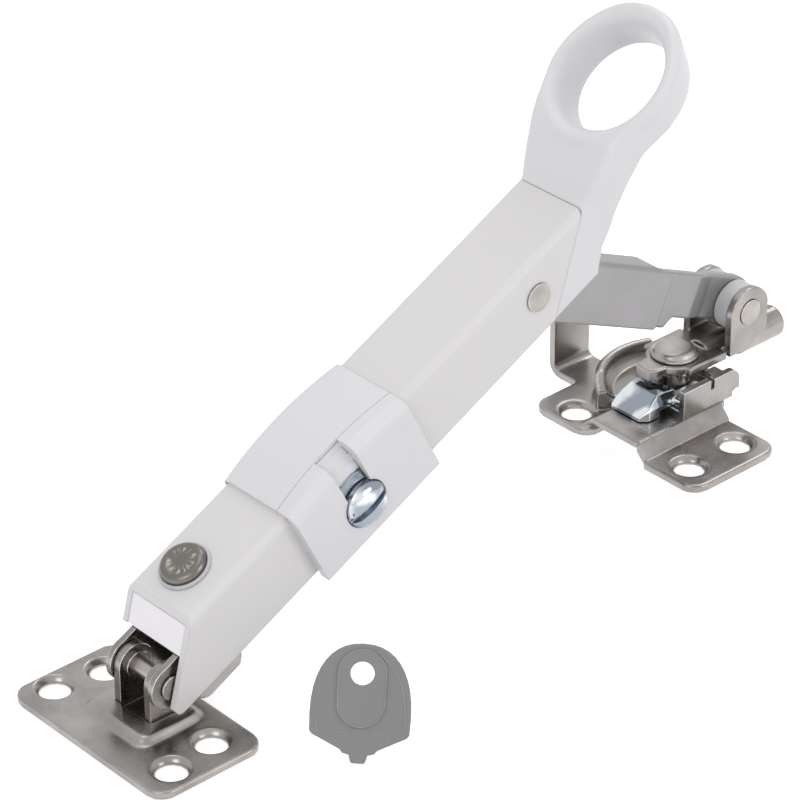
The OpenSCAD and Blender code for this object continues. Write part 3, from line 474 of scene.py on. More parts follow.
def sheet_metal(name, dark, light, edge_highlight_colour, grain_along, cloud, rough, bevel):
    """Rolled or plated metal: cloudy tone, fine grain and a painted highlight along the edges.

    grain_along squeezes the grain's scale along x, y and z, cloud and bevel are in mm, and
    rough holds the least and the greatest roughness.
    """
    finish, tree, shader = new_finish(name, light, Metallic=1.0)
    place = add(tree, "ShaderNodeTexCoord")
    mist = add(tree, "ShaderNodeTexNoise", {"Vector": place.outputs["Object"]},
               {"Scale": per(cloud), "Detail": 3.0, "Roughness": 0.6})
    spread = add(tree, "ShaderNodeMapRange", {"Value": mist.outputs["Fac"]},
                 {"From Min": 0.32, "From Max": 0.68, "To Min": 0.0, "To Max": 1.0})
    tone = add(tree, "ShaderNodeMix", {0: spread.outputs["Result"]},
               {6: linear(dark), 7: linear(light)}, data_type="RGBA")
    # The rolling grain is about 0.05 mm, and is drawn at 0.3 mm across to show
    stretch = add(tree, "ShaderNodeMapping", {"Vector": place.outputs["Object"]},
                  {"Scale": grain_along})
    grain = add(tree, "ShaderNodeTexNoise", {"Vector": stretch.outputs["Vector"]},
                {"Scale": per(0.3), "Detail": 2.0})
    edge = add(tree, "ShaderNodeBevel", values={"Radius": bevel * MM}, samples=8)
    facing = add(tree, "ShaderNodeNewGeometry")
    turned = add(tree, "ShaderNodeVectorMath", {0: edge.outputs["Normal"],
                 1: facing.outputs["Normal"]}, operation="DOT_PRODUCT")
    # Painted highlight: at the edges, where the rounded normal turns away from the face, the
    # colour is mixed towards the bright edge colour
    edge_highlight_mask = add(tree, "ShaderNodeMapRange", {"Value": turned.outputs["Value"]},
               {"From Min": 0.985, "From Max": 0.8, "To Min": 0.0, "To Max": 0.9})
    bright = add(tree, "ShaderNodeMix", {0: edge_highlight_mask.outputs["Result"], 6: tone.outputs[2]},
                 {7: linear(edge_highlight_colour)}, data_type="RGBA")
    tree.links.new(bright.outputs[2], shader.inputs["Base Color"])
    mixed = add(tree, "ShaderNodeMath", {0: spread.outputs["Result"],
                1: grain.outputs["Fac"]}, operation="ADD")
    shine = add(tree, "ShaderNodeMapRange", {"Value": mixed.outputs["Value"]},
                {"From Min": 0.3, "From Max": 1.7, "To Min": rough[0], "To Max": rough[1]})
    tree.links.new(shine.outputs["Result"], shader.inputs["Roughness"])
    bump = add(tree, "ShaderNodeBump", {"Height": grain.outputs["Fac"],
               "Normal": edge.outputs["Normal"]}, {"Strength": 0.05, "Distance": 0.01 * MM})
    tree.links.new(bump.outputs["Normal"], shader.inputs["Normal"])
    return finish


def rolled_stainless(colours):
    """Stainless steel sheet, cold rolled, pressed and tumbled.

    Tumbling leaves a soft warm grey in clouds, and the edges carry a painted highlight.
    """
    return sheet_metal("tumbled_stainless_sheet", colours.steel_dark, colours.steel,
                       colours.bright_steel_and_edge_highlight, grain_along=(0.06, 1.0, 1.0), cloud=10.0,
                       rough=(0.2, 0.36), bevel=0.3)


def plated_steel(colours):
    """Mild steel strip, formed and zinc-nickel plated.

    Plating levels the rolling grain, so it is an even cool grey with a dull shine.
    """
    return sheet_metal("plated_steel_strip", colours.plated_dark, colours.plated,
                       colours.bright_steel_and_edge_highlight, grain_along=(0.08, 1.0, 0.08), cloud=16.0,
                       rough=(0.42, 0.55), bevel=0.25)


def nickel_rivet(name, colours, axis_place, axis_turn, head_mm):
    """Steel rivet, nickel plated, its head formed by an orbiting punch.

    The punch leaves bright strokes that point outwards, in a band round a darker middle.
    """
    finish, tree, shader = new_finish(name, colours.nickel, Metallic=1.0)
    place = add(tree, "ShaderNodeTexCoord")
    shift = add(tree, "ShaderNodeVectorMath", {0: place.outputs["Object"]},
                {1: axis_place}, operation="SUBTRACT")
    turn = add(tree, "ShaderNodeMapping", {"Vector": shift.outputs["Vector"]},
               {"Rotation": axis_turn})
    flat = add(tree, "ShaderNodeSeparateXYZ", {"Vector": turn.outputs["Vector"]})
    angle = add(tree, "ShaderNodeMath", {0: flat.outputs["Y"], 1: flat.outputs["X"]},
                operation="ARCTAN2")
    level = add(tree, "ShaderNodeCombineXYZ", {"X": flat.outputs["X"],
                "Y": flat.outputs["Y"]})
    reach = add(tree, "ShaderNodeVectorMath", {0: level.outputs["Vector"]},
                operation="LENGTH")
    # Strokes of the punch: about 26 round the head and 1.5 mm long
    polar = add(tree, "ShaderNodeCombineXYZ", {"X": angle.outputs["Value"],
                "Y": reach.outputs["Value"]})
    spokes = add(tree, "ShaderNodeMapping", {"Vector": polar.outputs["Vector"]},
                 {"Scale": (26 / math.tau, per(1.5), 1.0)})
    strokes = add(tree, "ShaderNodeTexNoise", {"Vector": spokes.outputs["Vector"]},
                  {"Scale": 1.0, "Detail": 2.0})
    # They lie in a band whose edges fade, placed by shares of the head's width
    ring = add(tree, "ShaderNodeMapRange", {"Value": reach.outputs["Value"]},
               {"From Min": 0.12 * head_mm * MM, "From Max": 0.26 * head_mm * MM},
               interpolation_type="SMOOTHSTEP")
    outside = add(tree, "ShaderNodeMapRange", {"Value": reach.outputs["Value"]},
                  {"From Min": 0.27 * head_mm * MM, "From Max": 0.38 * head_mm * MM,
                   "To Min": 1.0, "To Max": 0.0}, interpolation_type="SMOOTHSTEP")
    band = add(tree, "ShaderNodeMath", {0: ring.outputs["Result"],
               1: outside.outputs["Result"]}, operation="MULTIPLY")
    sharp = add(tree, "ShaderNodeMapRange", {"Value": strokes.outputs["Fac"]},
                {"From Min": 0.5, "From Max": 0.72})
    mark = add(tree, "ShaderNodeMath", {0: sharp.outputs["Result"],
               1: band.outputs["Value"]}, operation="MULTIPLY")
    tone = add(tree, "ShaderNodeMix", {0: mark.outputs["Value"]},
               {6: linear(colours.nickel), 7: linear(colours.nickel_stroke)},
               data_type="RGBA")
    tree.links.new(tone.outputs[2], shader.inputs["Base Color"])
    shine = add(tree, "ShaderNodeMapRange", {"Value": strokes.outputs["Fac"]},
                {"To Min": 0.2, "To Max": 0.4})
    tree.links.new(shine.outputs["Result"], shader.inputs["Roughness"])
    edge = add(tree, "ShaderNodeBevel", values={"Radius": 0.35 * MM}, samples=8)
    bump = add(tree, "ShaderNodeBump", {"Height": mark.outputs["Value"],
               "Normal": edge.outputs["Normal"]}, {"Strength": 0.6, "Distance": 0.05 * MM})
    tree.links.new(bump.outputs["Normal"], shader.inputs["Normal"])
    return finish


def turned_nickel(colours):
    """Turned steel pins and flat rivet ends, nickel plated.

    They are smooth and warm grey, with faint clouds and a painted highlight along their edges.
    """
    return sheet_metal("nickel_plated_pin", colours.pin_dark, colours.pin, colours.bright_steel_and_edge_highlight,
                       grain_along=(1.0, 1.0, 1.0), cloud=4.0, rough=(0.26, 0.4), bevel=0.25)


def bright_zinc(colours):
    """Zinc, pressure die cast, polished and plated in bright chrome.

    It mirrors the room with a blue cast, and its cast faces still swell a little; darker patches
    in its colour are a painted reflection.
    """
    finish, tree, shader = new_finish("chromed_zinc_casting", colours.zinc, Metallic=1.0,
                                      Roughness=0.12)
    place = add(tree, "ShaderNodeTexCoord")
    swell = add(tree, "ShaderNodeTexNoise", {"Vector": place.outputs["Object"]},
                {"Scale": per(5), "Detail": 1.5})
    shine = add(tree, "ShaderNodeMapRange", {"Value": swell.outputs["Fac"]},
                {"From Min": 0.35, "From Max": 0.65, "To Min": 0.08, "To Max": 0.2})
    tree.links.new(shine.outputs["Result"], shader.inputs["Roughness"])
    # Painted reflection: darker patches of the swell noise are mixed into the chrome's colour
    painted_reflection_mask = add(tree, "ShaderNodeMapRange", {"Value": swell.outputs["Fac"]},
                {"From Min": 0.4, "From Max": 0.58}, interpolation_type="SMOOTHSTEP")
    tone = add(tree, "ShaderNodeMix", {0: painted_reflection_mask.outputs["Result"]},
               {6: linear(colours.zinc_painted_reflection), 7: linear(colours.zinc)}, data_type="RGBA")
    tree.links.new(tone.outputs[2], shader.inputs["Base Color"])
    edge = add(tree, "ShaderNodeBevel", values={"Radius": 0.3 * MM}, samples=8)
    bump = add(tree, "ShaderNodeBump", {"Height": swell.outputs["Fac"],
               "Normal": edge.outputs["Normal"]}, {"Strength": 0.35, "Distance": 0.25 * MM})
    tree.links.new(bump.outputs["Normal"], shader.inputs["Normal"])
    return finish


def shaded_zinc_plating(colours):
    """Turned steel collar, zinc plated and blue passivated.

    The thin blue film takes the mirror off it and shifts from grey to blue, and both its colours
    are darker than the chrome head as painted shade for the pocket it lies in.
    """
    return sheet_metal("blue_zinc_with_painted_shade", colours.collar_deeper_shade, colours.collar,
                       colours.zinc, grain_along=(1.0, 1.0, 1.0), cloud=3.0,
                       rough=(0.22, 0.36), bevel=0.15)


def nylon_washer(colours):
    """Nylon washers, punched from sheet.

    They are a milky grey white, let a little light in and shine softly.
    """
    finish, tree, shader = new_finish("punched_nylon", colours.nylon, Roughness=0.42,
                                      IOR=1.53, Subsurface_Weight=0.15,
                                      Subsurface_Scale=0.8 * MM)
    place = add(tree, "ShaderNodeTexCoord")
    haze = add(tree, "ShaderNodeTexNoise", {"Vector": place.outputs["Object"]},
               {"Scale": per(2), "Detail": 2.0})
    tone = add(tree, "ShaderNodeMix", {0: haze.outputs["Fac"]},
               {6: linear(colours.nylon), 7: linear(colours.nylon_dark)}, data_type="RGBA")
    tree.links.new(tone.outputs[2], shader.inputs["Base Color"])
    edge = add(tree, "ShaderNodeBevel", values={"Radius": 0.2 * MM}, samples=6)
    tree.links.new(edge.outputs["Normal"], shader.inputs["Normal"])
    return finish


def spring_strip(colours):
    """Spring steel strip, hardened and polished.

    It is the brightest of the steels, with a fine grain along the strip.
    """
    # Its lighter tone is the bright colour of the painted edge highlight, which also lies along
    # its edges
    return sheet_metal("polished_spring_strip", colours.pin, colours.bright_steel_and_edge_highlight,
                       colours.bright_steel_and_edge_highlight, grain_along=(0.05, 1.0, 1.0), cloud=6.0,
                       rough=(0.18, 0.3), bevel=0.15)


def moulded_key_grey(colours, highlighted=False):
    """Grey ABS key bow, moulded in an etched tool.

    Etching leaves a fine dull grain; the raised lines and the edges are drawn a shade paler as a
    painted highlight.
    """
    # The raised lines take the paler pair of colours, a painted highlight
    dull, clear = (colours.key, colours.key_highlight) if highlighted else (colours.key_dark, colours.key)
    name = "grey_abs_painted_highlight" if highlighted else "etched_grey_abs"
    finish, tree, shader = new_finish(name, clear, Roughness=0.5, IOR=1.53)
    place = add(tree, "ShaderNodeTexCoord")
    # Etched grain is about 0.1 mm, and is drawn at 0.3 mm to show
    grain = add(tree, "ShaderNodeTexNoise", {"Vector": place.outputs["Object"]},
                {"Scale": per(0.3), "Detail": 2.0})
    drift = add(tree, "ShaderNodeTexNoise", {"Vector": place.outputs["Object"]},
                {"Scale": per(7), "Detail": 2.0})
    edge = add(tree, "ShaderNodeBevel", values={"Radius": 0.35 * MM}, samples=8)
    facing = add(tree, "ShaderNodeNewGeometry")
    turned = add(tree, "ShaderNodeVectorMath", {0: edge.outputs["Normal"],
                 1: facing.outputs["Normal"]}, operation="DOT_PRODUCT")
    # Painted highlight: the edges, where the rounded normal turns away from the face, are mixed
    # towards the pale key colour
    edge_highlight_mask = add(tree, "ShaderNodeMapRange", {"Value": turned.outputs["Value"]},
               {"From Min": 0.985, "From Max": 0.75, "To Min": 0.0, "To Max": 0.5})
    tone = add(tree, "ShaderNodeMix", {0: drift.outputs["Fac"]},
               {6: linear(dull), 7: linear(clear)}, data_type="RGBA")
    pale = add(tree, "ShaderNodeMix", {0: edge_highlight_mask.outputs["Result"], 6: tone.outputs[2]},
               {7: linear(colours.key_highlight)}, data_type="RGBA")
    tree.links.new(pale.outputs[2], shader.inputs["Base Color"])
    bump = add(tree, "ShaderNodeBump", {"Height": grain.outputs["Fac"],
               "Normal": edge.outputs["Normal"]}, {"Strength": 0.12, "Distance": 0.02 * MM})
    tree.links.new(bump.outputs["Normal"], shader.inputs["Normal"])
    return finish


def seen_rays(tree):
    """Node that is 1 for rays from the lens, off gloss and through glass, and 0 for others."""
    ray = add(tree, "ShaderNodeLightPath")
    direct = add(tree, "ShaderNodeMath", {0: ray.outputs["Is Camera Ray"],
                 1: ray.outputs["Is Glossy Ray"]}, operation="MAXIMUM")
    return add(tree, "ShaderNodeMath", {0: direct.outputs["Value"],
               1: ray.outputs["Is Transmission Ray"]}, operation="MAXIMUM")


def studio_floor(studio):
    """White laminate: it shows white to the lens and in the metal, and keeps shadows."""
    finish, tree, shader = new_finish("studio_floor", studio.floor, Roughness=0.9)
    output = tree.nodes["Material Output"]
    seen = seen_rays(tree)
    lift = add(tree, "ShaderNodeMath", {0: seen.outputs["Value"]}, {1: studio.floor_lift},
               operation="MULTIPLY")
    glow = add(tree, "ShaderNodeEmission", {"Strength": lift.outputs["Value"]})
    both = add(tree, "ShaderNodeAddShader", {0: shader.outputs["BSDF"],
               1: glow.outputs["Emission"]})
    tree.links.new(both.outputs["Shader"], output.inputs["Surface"])
    return finish


# Studio

def lay_floor(studio):
    """A wide floor, just under the lowest point of the part."""
    reach = 3.0
    gap = 0.0002
    height = CAD_BOX[0][2] - gap
    corners = [(-reach, -reach), (reach, -reach), (reach, reach), (-reach, reach)]
    mesh = bpy.data.meshes.new("studio_floor")
    mesh.from_pydata([(x, y, height) for x, y in corners], [], [(0, 1, 2, 3)])
    mesh.materials.append(studio_floor(studio))
    ground = put("studio_floor", mesh)


def hang_lamps(studio):
    """Four soft boxes: each hangs so many metres from the middle of the part and faces it."""
    low, high = CAD_BOX
    middle = Vector([(a + b) / 2 for a, b in zip(low, high)])
    lamps = (
        ("key_lamp", studio.key_lamp, (0.75, 0.35, 0.85), 0.4),
        ("side_lamp", studio.side_lamp, (0.35, -0.85, 0.4), 0.45),
        ("fill_lamp", studio.fill_lamp, (-0.75, -0.25, 0.55), 0.45),
        ("top_lamp", studio.top_lamp, (0.05, 0.25, 1.1), 0.4),
    )
    for name, power, offset, width in lamps:
        light = bpy.data.lights.new(name, "AREA")
        light.shape = "SQUARE"
        light.size = width
        light.energy = power
        lamp = put(name, light)
        lamp.location = middle + Vector(offset)
        lamp.rotation_euler = (-Vector(offset)).to_track_quat("-Z", "Y").to_euler()


def light_room(scene, studio):
    """An even room light, in which the lens, metal and glass see plain white."""
    world = bpy.data.worlds.new("studio_room")
    world.use_nodes = True
    scene.world = world
    tree = world.node_tree
    tree.nodes.clear()
    seen = seen_rays(tree)
    room = add(tree, "ShaderNodeBackground", values={"Color": linear("#FFFFFF"),
               "Strength": studio.room})
    white = add(tree, "ShaderNodeBackground", values={"Color": linear("#FFFFFF"),
                "Strength": 1.0})
    pick = add(tree, "ShaderNodeMixShader", {0: seen.outputs["Value"],
               1: room.outputs["Background"], 2: white.outputs["Background"]})
    add(tree, "ShaderNodeOutputWorld", {"Surface": pick.outputs["Shader"]})


def set_camera(scene, studio):
    """The camera at the photo's viewing angle, in metres."""
    # Both places were fitted to the screw holes, plate corners, arm edges and pins
    stand = Vector((-0.3270, -0.4301, 0.3881))
    target = Vector((0.1064, 0.0500, -0.0005))
    camera = bpy.data.cameras.new("photo_camera")
    camera.sensor_width = 36.0
    camera.lens = studio.lens * 1000
    camera.clip_start = 0.01
    view = put("photo_camera", camera)
    view.location = stand
    view.rotation_euler = (target - stand).to_track_quat("-Z", "Y").to_euler()
    scene.camera = view


# Sizes and colours that a user would change

def hex_colour(name, text, description):
    """A colour that a user can change, as sRGB hex."""
    return bpy.props.StringProperty(name=name, description=description, default=text,
                                    maxlen=7)


class RestrictorColours(bpy.types.PropertyGroup):
    coat: hex_colour("Coat", "#D3D1D3", "Powder coat on the profile arm, as sRGB hex")
    coat_warm: hex_colour("Coat, warm", "#D4D2D1", "Where the powder coat drifts warmer")
    moulding: hex_colour("Moulding", "#D7D5D8", "Pull ring and lock covers")
    moulding_cool: hex_colour("Moulding, cool", "#D4D3D7", "Where the moulding is cooler")
    plug: hex_colour("End plug", "#EFECF2", "Plug in the arm's lower end")
    steel: hex_colour("Stainless", "#A9A5A2", "Lighter clouds of the stainless sheet")
    steel_dark: hex_colour("Stainless, dark", "#8D8986", "Darker clouds of the sheet")
    # Painted highlight along the edges of the metals, and the lighter tone of the spring strip
    bright_steel_and_edge_highlight: hex_colour("Edge highlight, bright steel", "#F0EDE9", "Painted highlight along metal edges, and the spring strip's light tone")
    plated: hex_colour("Plated steel", "#9E9C9E", "Link sleeve and bar")
    plated_dark: hex_colour("Plated steel, dark", "#929192", "Duller plating")
    nickel: hex_colour("Nickel head", "#77736F", "Swivel rivet's formed head")
    nickel_stroke: hex_colour("Punch strokes", "#C9C6C2", "Bright strokes on that head")
    pin: hex_colour("Pins", "#B2ADAA", "Flat rivet ends and pins")
    pin_dark: hex_colour("Pins, dark", "#9A9692", "Darker places on them")
    zinc: hex_colour("Zinc", "#E2E6EA", "Latch and lock head")
    # Painted reflection: darker patches mixed into the chrome's colour
    zinc_painted_reflection: hex_colour("Zinc, dark", "#949CA6", "Darker painted reflections in the chrome")
    # Both collar colours are darker than the chrome head, painted shade for the pocket
    collar: hex_colour("Lock collar", "#9BA4AB", "Plated collar behind the lock head")
    collar_deeper_shade: hex_colour("Lock collar, dark", "#6E7A84", "Bluer, deeper painted shade on that collar")
    nylon: hex_colour("Nylon", "#C6C6C8", "Washers")
    nylon_dark: hex_colour("Nylon, dark", "#B2B3B5", "Milky shadows in the washers")
    key: hex_colour("Key", "#808080", "Key bow")
    key_dark: hex_colour("Key, dark", "#797A7A", "Duller places of the bow")
    # Painted highlight on the raised lines and along the bow's edges
    key_highlight: hex_colour("Key, rubbed", "#A5A3A1", "Raised lines and rubbed edges")


class RestrictorSizes(bpy.types.PropertyGroup):
    sheet_grain: bpy.props.FloatProperty(
        name="Sheet grain", description="Mesh size for pressed sheet, in mm",
        default=0.25, min=0.15, max=0.6)
    ring_grain: bpy.props.FloatProperty(
        name="Ring grain", description="Mesh size for the moulded ring, in mm",
        default=0.25, min=0.2, max=0.8)
    press_passes: bpy.props.IntProperty(
        name="Press softness", description="How far pressing rounds the sheet's bends",
        default=5, min=1, max=30)
    ring_passes: bpy.props.IntProperty(
        name="Ring softness", description="How far moulding rounds the ring",
        default=12, min=1, max=40)
    line_radius: bpy.props.FloatProperty(
        name="Raised line", description="Radius of the key's raised lines, in mm",
        default=0.11, min=0.05, max=0.4)


class RestrictorStudio(bpy.types.PropertyGroup):
    floor: hex_colour("Floor", "#E8E8E8", "Floor of the studio")
    floor_lift: bpy.props.FloatProperty(
        name="Floor lift", description="How far the seen floor is lifted to white",
        default=0.6, min=0.0, max=1.0)
    room: bpy.props.FloatProperty(
        name="Room light", description="Strength of the even light from all round",
        default=0.79, min=0.0, max=2.0)
    key_lamp: bpy.props.FloatProperty(
        name="Key lamp", description="Soft box at the back right",
        default=1.5, min=0.0, max=40.0, unit="POWER")
    side_lamp: bpy.props.FloatProperty(
        name="Side lamp", description="Soft box at the front right",
        default=1.7, min=0.0, max=40.0, unit="POWER")
    fill_lamp: bpy.props.FloatProperty(
        name="Fill lamp", description="Soft box at the front left",
        default=1.6, min=0.0, max=40.0, unit="POWER")
    top_lamp: bpy.props.FloatProperty(
        name="Top lamp", description="Soft box overhead",
        default=0.9, min=0.0, max=40.0, unit="POWER")
    lens: bpy.props.FloatProperty(
        name="Lens", description="Focal length of the camera",
        default=0.17325, min=0.02, max=0.4, unit="LENGTH")


# Pieces

class RESTRICTOR_OT_sash_foot(bpy.types.Operator):
    """Sash plate with its pressed pad, its hinge clevis, pin and washers"""
    bl_idname = "restrictor.sash_foot"
    bl_label = "Sash plate and clevis"

    def execute(self, context):
        scene = context.scene
        steel = rolled_stainless(scene.restrictor_colours)
        sizes = scene.restrictor_sizes
        # The sash plate is pressed twice as soft as the frame plate
        softened("sash_plate", "sash", steel, grain=sizes.sheet_grain,
                 passes=2 * sizes.press_passes)
        dress(("sash_clevis", "sash_pin_washers"), steel)
        dress(("sash_pin",), turned_nickel(scene.restrictor_colours))
        return {"FINISHED"}


class RESTRICTOR_OT_swivel_joint(bpy.types.Operator):
    """Swivel link under the arm, its spacer, and the formed rivet with its collar"""
    bl_idname = "restrictor.swivel_joint"
    bl_label = "Swivel link and rivet"

    def execute(self, context):
        colours = context.scene.restrictor_colours
        dress(("swivel_link",), rolled_stainless(colours))
        dress(("swivel_spacer",), nylon_washer(colours))
        head = nickel_rivet("peened_nickel_head", colours, on_arm(SWIVEL_RIVET),
                            (0.0, ARM_PITCH, 0.0), SWIVEL_HEAD_WIDTH)
        softened("swivel_rivet", "swivel", head, grain=0.14, passes=2)
        # The collar under the head, from its inner edge outwards: radius and height
        section = ((4.33, 8.1), (4.6, 8.12), (4.8, 8.0), (4.86, 7.8), (4.86, 7.42))
        sides = 64
        turns = [math.tau * step / sides for step in range(sides + 1)]
        rows = [[on_arm((SWIVEL_RIVET[0] + radius * math.cos(turn),
                         SWIVEL_RIVET[1] + radius * math.sin(turn), height))
                 for turn in turns] for radius, height in section]
        thin_piece("rivet_collar", "arm", nylon_washer(colours), rows, thick=0.3)
        return {"FINISHED"}


class RESTRICTOR_OT_profile_arm(bpy.types.Operator):
    """Coated profile arm, its end plug and the elbow rivet with its bushes"""
    bl_idname = "restrictor.profile_arm"
    bl_label = "Profile arm"

    def execute(self, context):
        colours = context.scene.restrictor_colours
        dress(("arm_profile",), powder_coated_aluminium(colours))
        dress(("end_plug",), moulded_plug(colours))
        dress(("elbow_rivet",), turned_nickel(colours))
        dress(("elbow_bushes",), nylon_washer(colours))
        return {"FINISHED"}


class RESTRICTOR_OT_pull_ring(bpy.types.Operator):
    """Moulded finger ring and the neck that grips the arm's upper end"""
    bl_idname = "restrictor.pull_ring"
    bl_label = "Pull ring"

    def execute(self, context):
        scene = context.scene
        sizes = scene.restrictor_sizes
        place = ring_frame()
        softened("pull_ring", "arm",
                 moulded_white(scene.restrictor_colours), grain=sizes.ring_grain,
                 passes=sizes.ring_passes, extra=neck_web(place), shape=ring_shaper(place),
                 blend=neck_blend(place))
        return {"FINISHED"}


class RESTRICTOR_OT_lock(bpy.types.Operator):
    """Lock covers with their liner and collar, screws, cylinder, cam and clip"""
    bl_idname = "restrictor.lock"
    bl_label = "Lock"

    def execute(self, context):
        colours = context.scene.restrictor_colours
        white = moulded_white(colours)
        dress(("lock_top_cover", "lock_side_cover"), white)
        # The liner and the collar run across the pocket over the lock head
        width = 5.7
        parts = 12
        columns = [-width / 2 + width * part / parts for part in range(parts + 1)]
        # The liner from the arm's top down its side: out from the middle, and height
        liner = ((5.95, 8.5), (6.6, 8.2), (7.3, 7.6), (8.0, 6.6), (8.5, 5.6), (8.8, 4.7),
                 (8.9, 4.1))
        rows = [[on_arm((LOCK_AXIS[0] + x, -y, z)) for x in columns] for y, z in liner]
        thin_piece("pocket_liner", "arm", white, rows, thick=0.25)
        chrome = bright_zinc(colours)
        # The collar is made of arcs above the lock head: inwards they rise out of the pocket
        outer_radius = 6.5
        radius_step = 0.36
        foot = 8.92
        rise = 0.5
        last = 6
        rows = []
        for step in range(last + 1):
            radius = outer_radius - radius_step * step
            out = foot + rise * math.sin(step / last * math.pi / 2)
            rows.append([on_arm((LOCK_AXIS[0] + x, -out, LOCK_AXIS[2]
                                 + math.sqrt(radius * radius - x * x))) for x in columns])
        # Its finish is darker than the chrome head, painted shade in the pocket
        thin_piece("lock_collar", "arm", shaded_zinc_plating(colours), rows,
                   thick=0.25)
        dress(("lock_screws",), turned_nickel(colours))
        softened("lock_cylinder", "lock", chrome, grain=0.12, passes=3,
                 shape=head_shaper())
        dress(("lock_cam",), rolled_stainless(colours))
        dress(("lock_clip",), spring_strip(colours))
        return {"FINISHED"}


class RESTRICTOR_OT_link_arm(bpy.types.Operator):
    """Plated link: the folded sleeve and the bar that runs on to the fork"""
    bl_idname = "restrictor.link_arm"
    bl_label = "Link arm"

    def execute(self, context):
        plated = plated_steel(context.scene.restrictor_colours)
        softened("link_sleeve", "link_arm", plated, grain=0.22, passes=3)
        softened("link_bar", "link_arm", plated, grain=0.22, passes=12)
        return {"FINISHED"}


class RESTRICTOR_OT_fork(bpy.types.Operator):
    """Swivel fork with its pin and washers"""
    bl_idname = "restrictor.fork"
    bl_label = "Swivel fork"

    def execute(self, context):
        colours = context.scene.restrictor_colours
        softened("swivel_fork", "fork", rolled_stainless(colours), grain=0.2,
                 passes=3)
        dress(("fork_pin",), turned_nickel(colours))
        dress(("fork_washers",), nylon_washer(colours))
        return {"FINISHED"}


class RESTRICTOR_OT_frame_foot(bpy.types.Operator):
    """Frame plate with its guard rim and flanges, the pivot rivet, washer and cradle"""
    bl_idname = "restrictor.frame_foot"
    bl_label = "Frame plate"

    def execute(self, context):
        scene = context.scene
        colours = scene.restrictor_colours
        sizes = scene.restrictor_sizes
        steel = rolled_stainless(colours)
        softened("frame_plate", "frame", steel, grain=sizes.sheet_grain,
                 passes=sizes.press_passes)
        dress(("guide_cradle",), steel)
        nickel = turned_nickel(colours)
        softened("frame_rivet", "frame", nickel, grain=0.12, passes=2)
        dress(("star_washer",), nickel)
        dress(("latch_spring",), spring_strip(colours))
        return {"FINISHED"}


class RESTRICTOR_OT_latch(bpy.types.Operator):
    """Cast latch on its slide"""
    bl_idname = "restrictor.latch"
    bl_label = "Latch"

    def execute(self, context):
        softened("latch", "latch",
                 bright_zinc(context.scene.restrictor_colours), grain=0.15, passes=6)
        return {"FINISHED"}


class RESTRICTOR_OT_key(bpy.types.Operator):
    """Key bow with its fine raised lines round the hole and the rim"""
    bl_idname = "restrictor.key"
    bl_label = "Key"

    def execute(self, context):
        scene = context.scene
        colours = scene.restrictor_colours
        dress(("key",), moulded_key_grey(colours))
        # The raised oval round the hole: a half circle, straight sides and a half circle
        radius = KEY_WIDTH * 0.235
        straight = 5
        oval = []
        for degrees in range(0, 361, 10):
            turn = math.radians(degrees)
            drop = 0 if degrees <= 180 else straight
            oval.append((radius * math.cos(turn), radius * math.sin(turn) - drop, KEY_OVAL))
        # Fine lines along the right rim of the bow, its left edge and its slightly bowed foot
        rim = ((2.2, 3.8), (4.5, 2.0), (6.15, -0.4), (7.05, -2.7), (7.5, -6.0), (7.55, -9.6))
        edge = ((-7.5, -7.8), (-7.5, -9.0), (-7.2, -10.2))
        foot = [(0.8 * x - 0.1, -9.55 - 0.029 * x * x) for x in range(-7, 8)]
        paths = [([(x, y, KEY_FLAT) for x, y in line], False) for line in (rim, edge, foot)]
        paths.append((oval, True))
        # The lines get the paler finish, a painted highlight
        raised_line("key_lines", "sash", moulded_key_grey(colours, highlighted=True),
                    paths, key_matrix(), scene.restrictor_sizes.line_radius)
        return {"FINISHED"}


class RESTRICTOR_OT_stage(bpy.types.Operator):
    """Floor, soft studio light, room and camera"""
    bl_idname = "restrictor.stage"
    bl_label = "Studio"

    def execute(self, context):
        scene = context.scene
        studio = scene.restrictor_studio
        lay_floor(studio)
        hang_lamps(studio)
        light_room(scene, studio)
        set_camera(scene, studio)
        scene.view_settings.view_transform = "Standard"
        return {"FINISHED"}


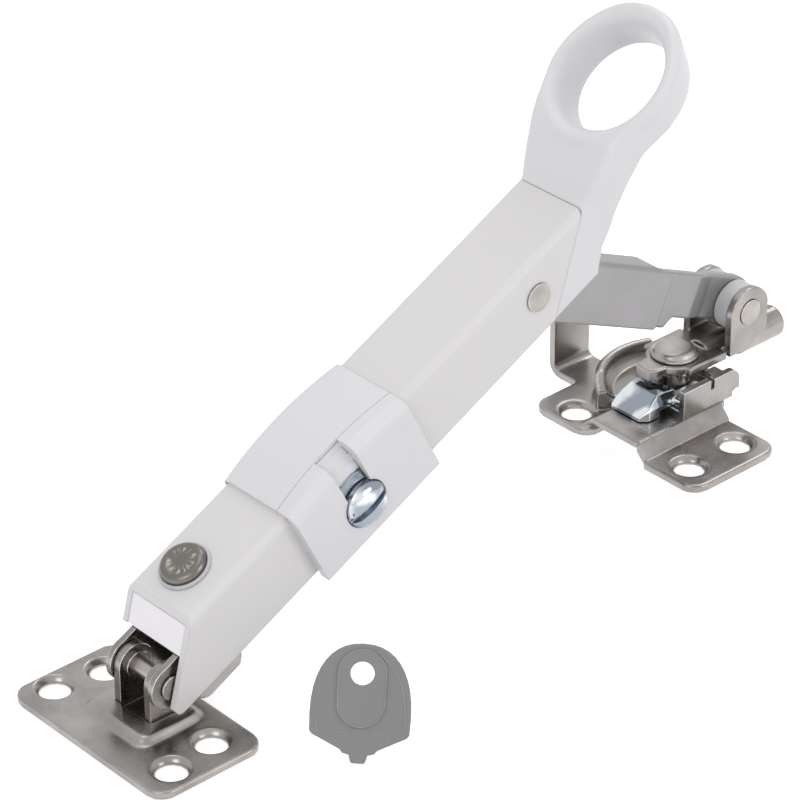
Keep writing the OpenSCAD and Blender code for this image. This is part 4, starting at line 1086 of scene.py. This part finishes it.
class RESTRICTOR_PT_pieces(bpy.types.Panel):
    """Sidebar list of the pieces and the studio, with their sizes and colours"""
    bl_idname = "RESTRICTOR_PT_pieces"
    bl_label = "Window restrictor"
    bl_space_type = "VIEW_3D"
    bl_region_type = "UI"
    bl_category = "Restrictor"

    def draw(self, context):
        scene = context.scene
        for step in STEPS:
            self.layout.operator(step.bl_idname)
        for group in (scene.restrictor_sizes, scene.restrictor_colours,
                      scene.restrictor_studio):
            box = self.layout.box()
            for name in group.__annotations__:
                box.prop(group, name)


STEPS = (
    RESTRICTOR_OT_sash_foot,
    RESTRICTOR_OT_swivel_joint,
    RESTRICTOR_OT_profile_arm,
    RESTRICTOR_OT_pull_ring,
    RESTRICTOR_OT_lock,
    RESTRICTOR_OT_link_arm,
    RESTRICTOR_OT_fork,
    RESTRICTOR_OT_frame_foot,
    RESTRICTOR_OT_latch,
    RESTRICTOR_OT_key,
    RESTRICTOR_OT_stage,
)
GROUPS = (RestrictorColours, RestrictorSizes, RestrictorStudio)


def register():
    for kind in GROUPS + STEPS + (RESTRICTOR_PT_pieces,):
        bpy.utils.register_class(kind)
    scene_type = bpy.types.Scene
    scene_type.restrictor_colours = bpy.props.PointerProperty(type=RestrictorColours)
    scene_type.restrictor_sizes = bpy.props.PointerProperty(type=RestrictorSizes)
    scene_type.restrictor_studio = bpy.props.PointerProperty(type=RestrictorStudio)


def unregister():
    scene_type = bpy.types.Scene
    del scene_type.restrictor_studio
    del scene_type.restrictor_sizes
    del scene_type.restrictor_colours
    for kind in reversed(GROUPS + STEPS + (RESTRICTOR_PT_pieces,)):
        bpy.utils.unregister_class(kind)


def main():
    register()
    bpy.ops.restrictor.sash_foot()
    bpy.ops.restrictor.swivel_joint()
    bpy.ops.restrictor.profile_arm()
    bpy.ops.restrictor.pull_ring()
    bpy.ops.restrictor.lock()
    bpy.ops.restrictor.link_arm()
    bpy.ops.restrictor.fork()
    bpy.ops.restrictor.frame_foot()
    bpy.ops.restrictor.latch()
    bpy.ops.restrictor.key()
    bpy.ops.restrictor.stage()


if __name__ == "__main__":
    main()
